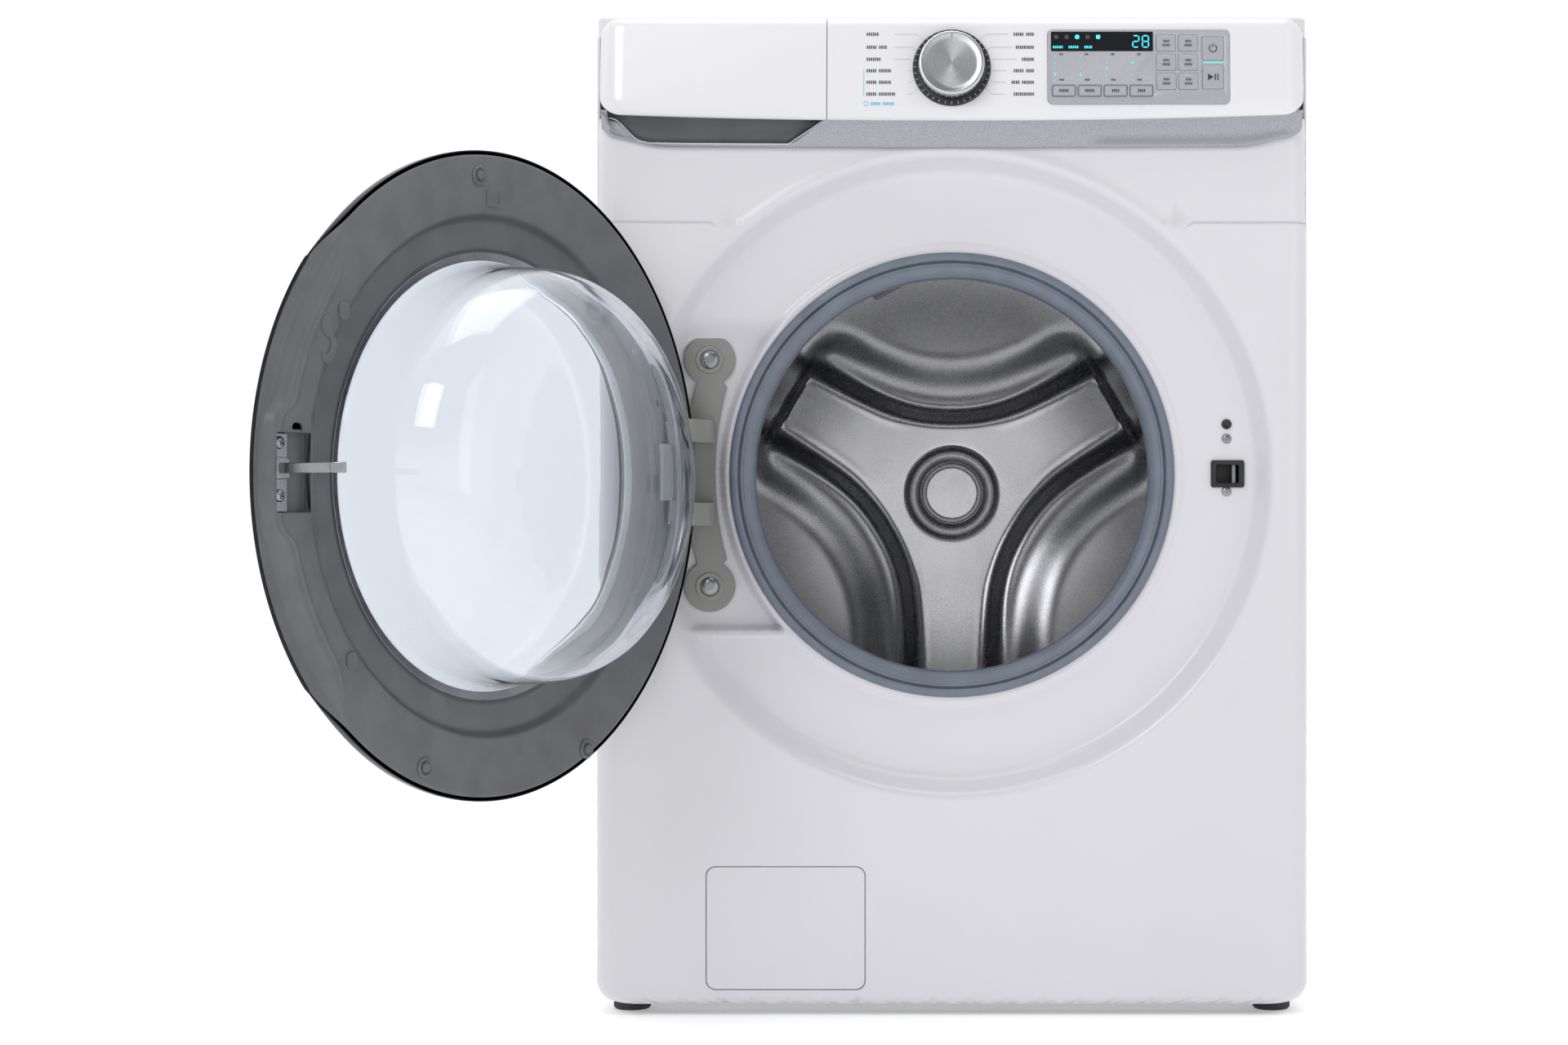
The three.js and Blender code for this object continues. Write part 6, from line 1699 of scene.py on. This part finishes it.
# printed labels either side of the knob: small marks in groups, and thin leader lines
LABEL_V = (71.5, 58.8, 47.0, 35.8, 24.5, 13.0)
left_words = ((6,), (5, 4), (7,), (5, 6), (5, 6), (5, 8))
right_words = ((5, 4), (9,), (6,), (5, 4), (4, 6), (10,))
for i, v in enumerate(LABEL_V):
    label_row(f"programme_left_{i}", CONSOLE_FACE, dark_ink, -81.5, v, left_words[i], 3.2)
    label_row(f"programme_right_{i}", CONSOLE_FACE, dark_ink, 78.5, v, right_words[i], 3.2,
              align="right")
for side in (-1, 1):
    for i, v in enumerate(LABEL_V):
        start = 55.0 if i < 3 else 41.5
        end = (33.0, 37.5, 40.0, 40.0, 40.0, 38.0)[i]
        if side > 0:
            start = (54.0, 58.0, 62.0, 52.0, 52.0, 50.0)[i]
        bend = (26.5, 33.5, 38.4, 38.8, 37.0, 33.0)[i]
        aim = (KNOB_V + (68 - KNOB_V) * 0.93, 55.5, 46.0, 35.8, 26.5, 18.0)[i]
        xs = [(start, v), (end, v), (bend, aim)]
        outline = [(side * a, b + 0.16) for a, b in xs] + [(side * a, b - 0.16)
                                                          for a, b in reversed(xs)]
        flat_mark(f"leader_{'left' if side < 0 else 'right'}_{i}", outline, CONSOLE_FACE,
                  pale_ink, "cabinet", 0.0, 0.12)
flat_mark("steam_group_bar", round_rect(-84.0, -83.4, 11.0, 37.6, 0.25, 2), CONSOLE_FACE,
          blue_ink, "cabinet", 0.0, 0.12)
label_row("steam_group_label", CONSOLE_FACE, blue_ink, -77.0, 3.6, (5, 6), 3.0)
frame_mark("steam_group_sign", -81.4, 3.6, 4.6, 4.6, 0.5, blue_ink, "cabinet", 0.0)
for i, x in enumerate((105.5, 130.4, 155.4, 180.6)):
    made(f"tactile_dot_{i}", turned([(0.01, 0.3), (0.9, 0.3), (0.6, -0.5), (0.01, -0.7)], 14, x,
         0.2), CONSOLE_FACE, white_abs, "cabinet", 60)
for i, v in enumerate((59.0, 31.0)):
    made(f"tactile_side_dot_{i}", turned([(0.01, 0.3), (0.9, 0.3), (0.6, -0.5), (0.01, -0.7)], 14,
         269.5, v), CONSOLE_FACE, white_abs, "cabinet", 60)

# ---------------------------------------------------------------- springs the tub hangs from

SPRING_TOP, SPRING_FOOT = 845.3, 754.7


def coil(x, y, radius=15.0, wire=2.4, turns=8):
    """Round wire wound into a helix that stands upright."""
    rings = []
    for k in range(turns * 28 + 1):
        angle = 2 * math.pi * k / 28
        out = Vector((math.cos(angle), math.sin(angle), 0))
        centre = Vector((x, y, lerp(SPRING_FOOT, SPRING_TOP, k / (turns * 28)))) + out * radius
        around = [2 * math.pi * j / 10 for j in range(10)]
        rings.append([centre + out * wire * math.cos(a) + Vector((0, 0, wire * math.sin(a)))
                      for a in around])
    return swept(rings)


springs = []
for side, x in (("left", -236), ("right", 236)):
    spring = made(f"tub_spring_{side}", coil(x, 330), CABINET, zinc_steel, None, 50)
    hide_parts(f"spring_{side}")
    springs.append((spring, x))

# ---------------------------------------------------------------- pieces kept from the frame

kept = {
    "control_board": board_green, "dispenser_housing": inner_plastic,
    "water_inlet_valve": inner_plastic, "drain_outlet": handle_plastic,
    "power_inlet": black_plastic, "drain_pump": inner_plastic,
    "damper_body_left": zinc_steel, "damper_body_right": zinc_steel,
    "damper_rod_left": chrome, "damper_rod_right": chrome, "drawer_tray": inner_plastic,
    "tub_front": tub_plastic, "tub_rear": tub_plastic, "counterweight": concrete,
    "main_bearing": bright_steel, "stator": copper, "drum_shaft": bright_steel,
    "rotor": bright_steel,
}
for name, finish in kept.items():
    for held in frame["nodes"][name].material_slots:
        held.material = finish

# ---------------------------------------------------------------- floor and lights

floor_finish, tree, shader = material("pale_studio_floor", "#F6F6F7", 0.6,
                                      Emission_Color=linear("#FFFFFF"), Emission_Strength=0.3)
tree.links.new(tinted(tree, noise(tree, place_of(tree), 900, 1), "#F1F1F3", "#F4F4F5"),
               shader.inputs["Base Color"])
middle = CABINET @ Vector((0, 367, 0))
bpy.ops.mesh.primitive_circle_add(vertices=96, radius=9, fill_type="NGON",
                                  location=(middle.x, middle.y, floor_z))
floor = bpy.context.object
floor.name = "studio_floor"
floor.data.materials.append(floor_finish)
floor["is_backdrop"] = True

# white cove behind the machine; in front, a bright band at eye level and a dimmer ceiling
world = bpy.data.worlds.new("studio")
world.use_nodes = True
tree = world.node_tree
direction = add(tree, "ShaderNodeSeparateXYZ",
                links={0: add(tree, "ShaderNodeTexCoord").outputs["Generated"]})
ceiling = add(tree, "ShaderNodeMapRange", {"interpolation_type": "SMOOTHSTEP"},
              {"From Min": 0.04, "From Max": 0.4, "To Min": 1.0, "To Max": 0.24},
              {"Value": direction.outputs["Z"]})
ahead = add(tree, "ShaderNodeMapRange", {"interpolation_type": "SMOOTHSTEP"},
            {"From Min": 0.1, "From Max": -0.45, "To Min": 0.0, "To Max": 1.0},
            {"Value": direction.outputs["Y"]})
level = add(tree, "ShaderNodeMix", values={2: 1.0},
            links={0: ahead.outputs[0], 3: ceiling.outputs[0]})
tree.links.new(level.outputs[0], tree.nodes["Background"].inputs["Strength"])
tree.nodes["Background"].inputs["Color"].default_value = linear("#FFFFFF")
scene.world = world


def softbox(name, place, target, width, height, power):
    """A rectangular softbox at a place on the cabinet's millimetre grid."""
    lamp = bpy.data.lights.new(name, "AREA")
    lamp.shape = "RECTANGLE"
    lamp.size, lamp.size_y = width, height
    lamp.energy = power
    obj = bpy.data.objects.new(name, lamp)
    obj.location = CABINET @ Vector(place)
    aim = CABINET @ Vector(target) - obj.location
    obj.rotation_euler = aim.to_track_quat("-Z", "Y").to_euler()
    scene.collection.objects.link(obj)


softbox("key_softbox", (-1500, -2600, 2300), (0, 0, 500), 1.6, 1.2, 30)
softbox("fill_softbox", (2300, -2000, 1300), (0, 0, 500), 1.2, 2.0, 6)
softbox("top_softbox", (0, -300, 2900), (0, 200, 500), 2.0, 1.6, 22)

# ---------------------------------------------------------------- bodies

# each piece rides on the empty of its body
for obj, body in riders:
    if body:
        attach(obj, body)
    finish = obj.data.materials[0]
for spring, x in springs:
    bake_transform(spring)
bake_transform(seal)

low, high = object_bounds()
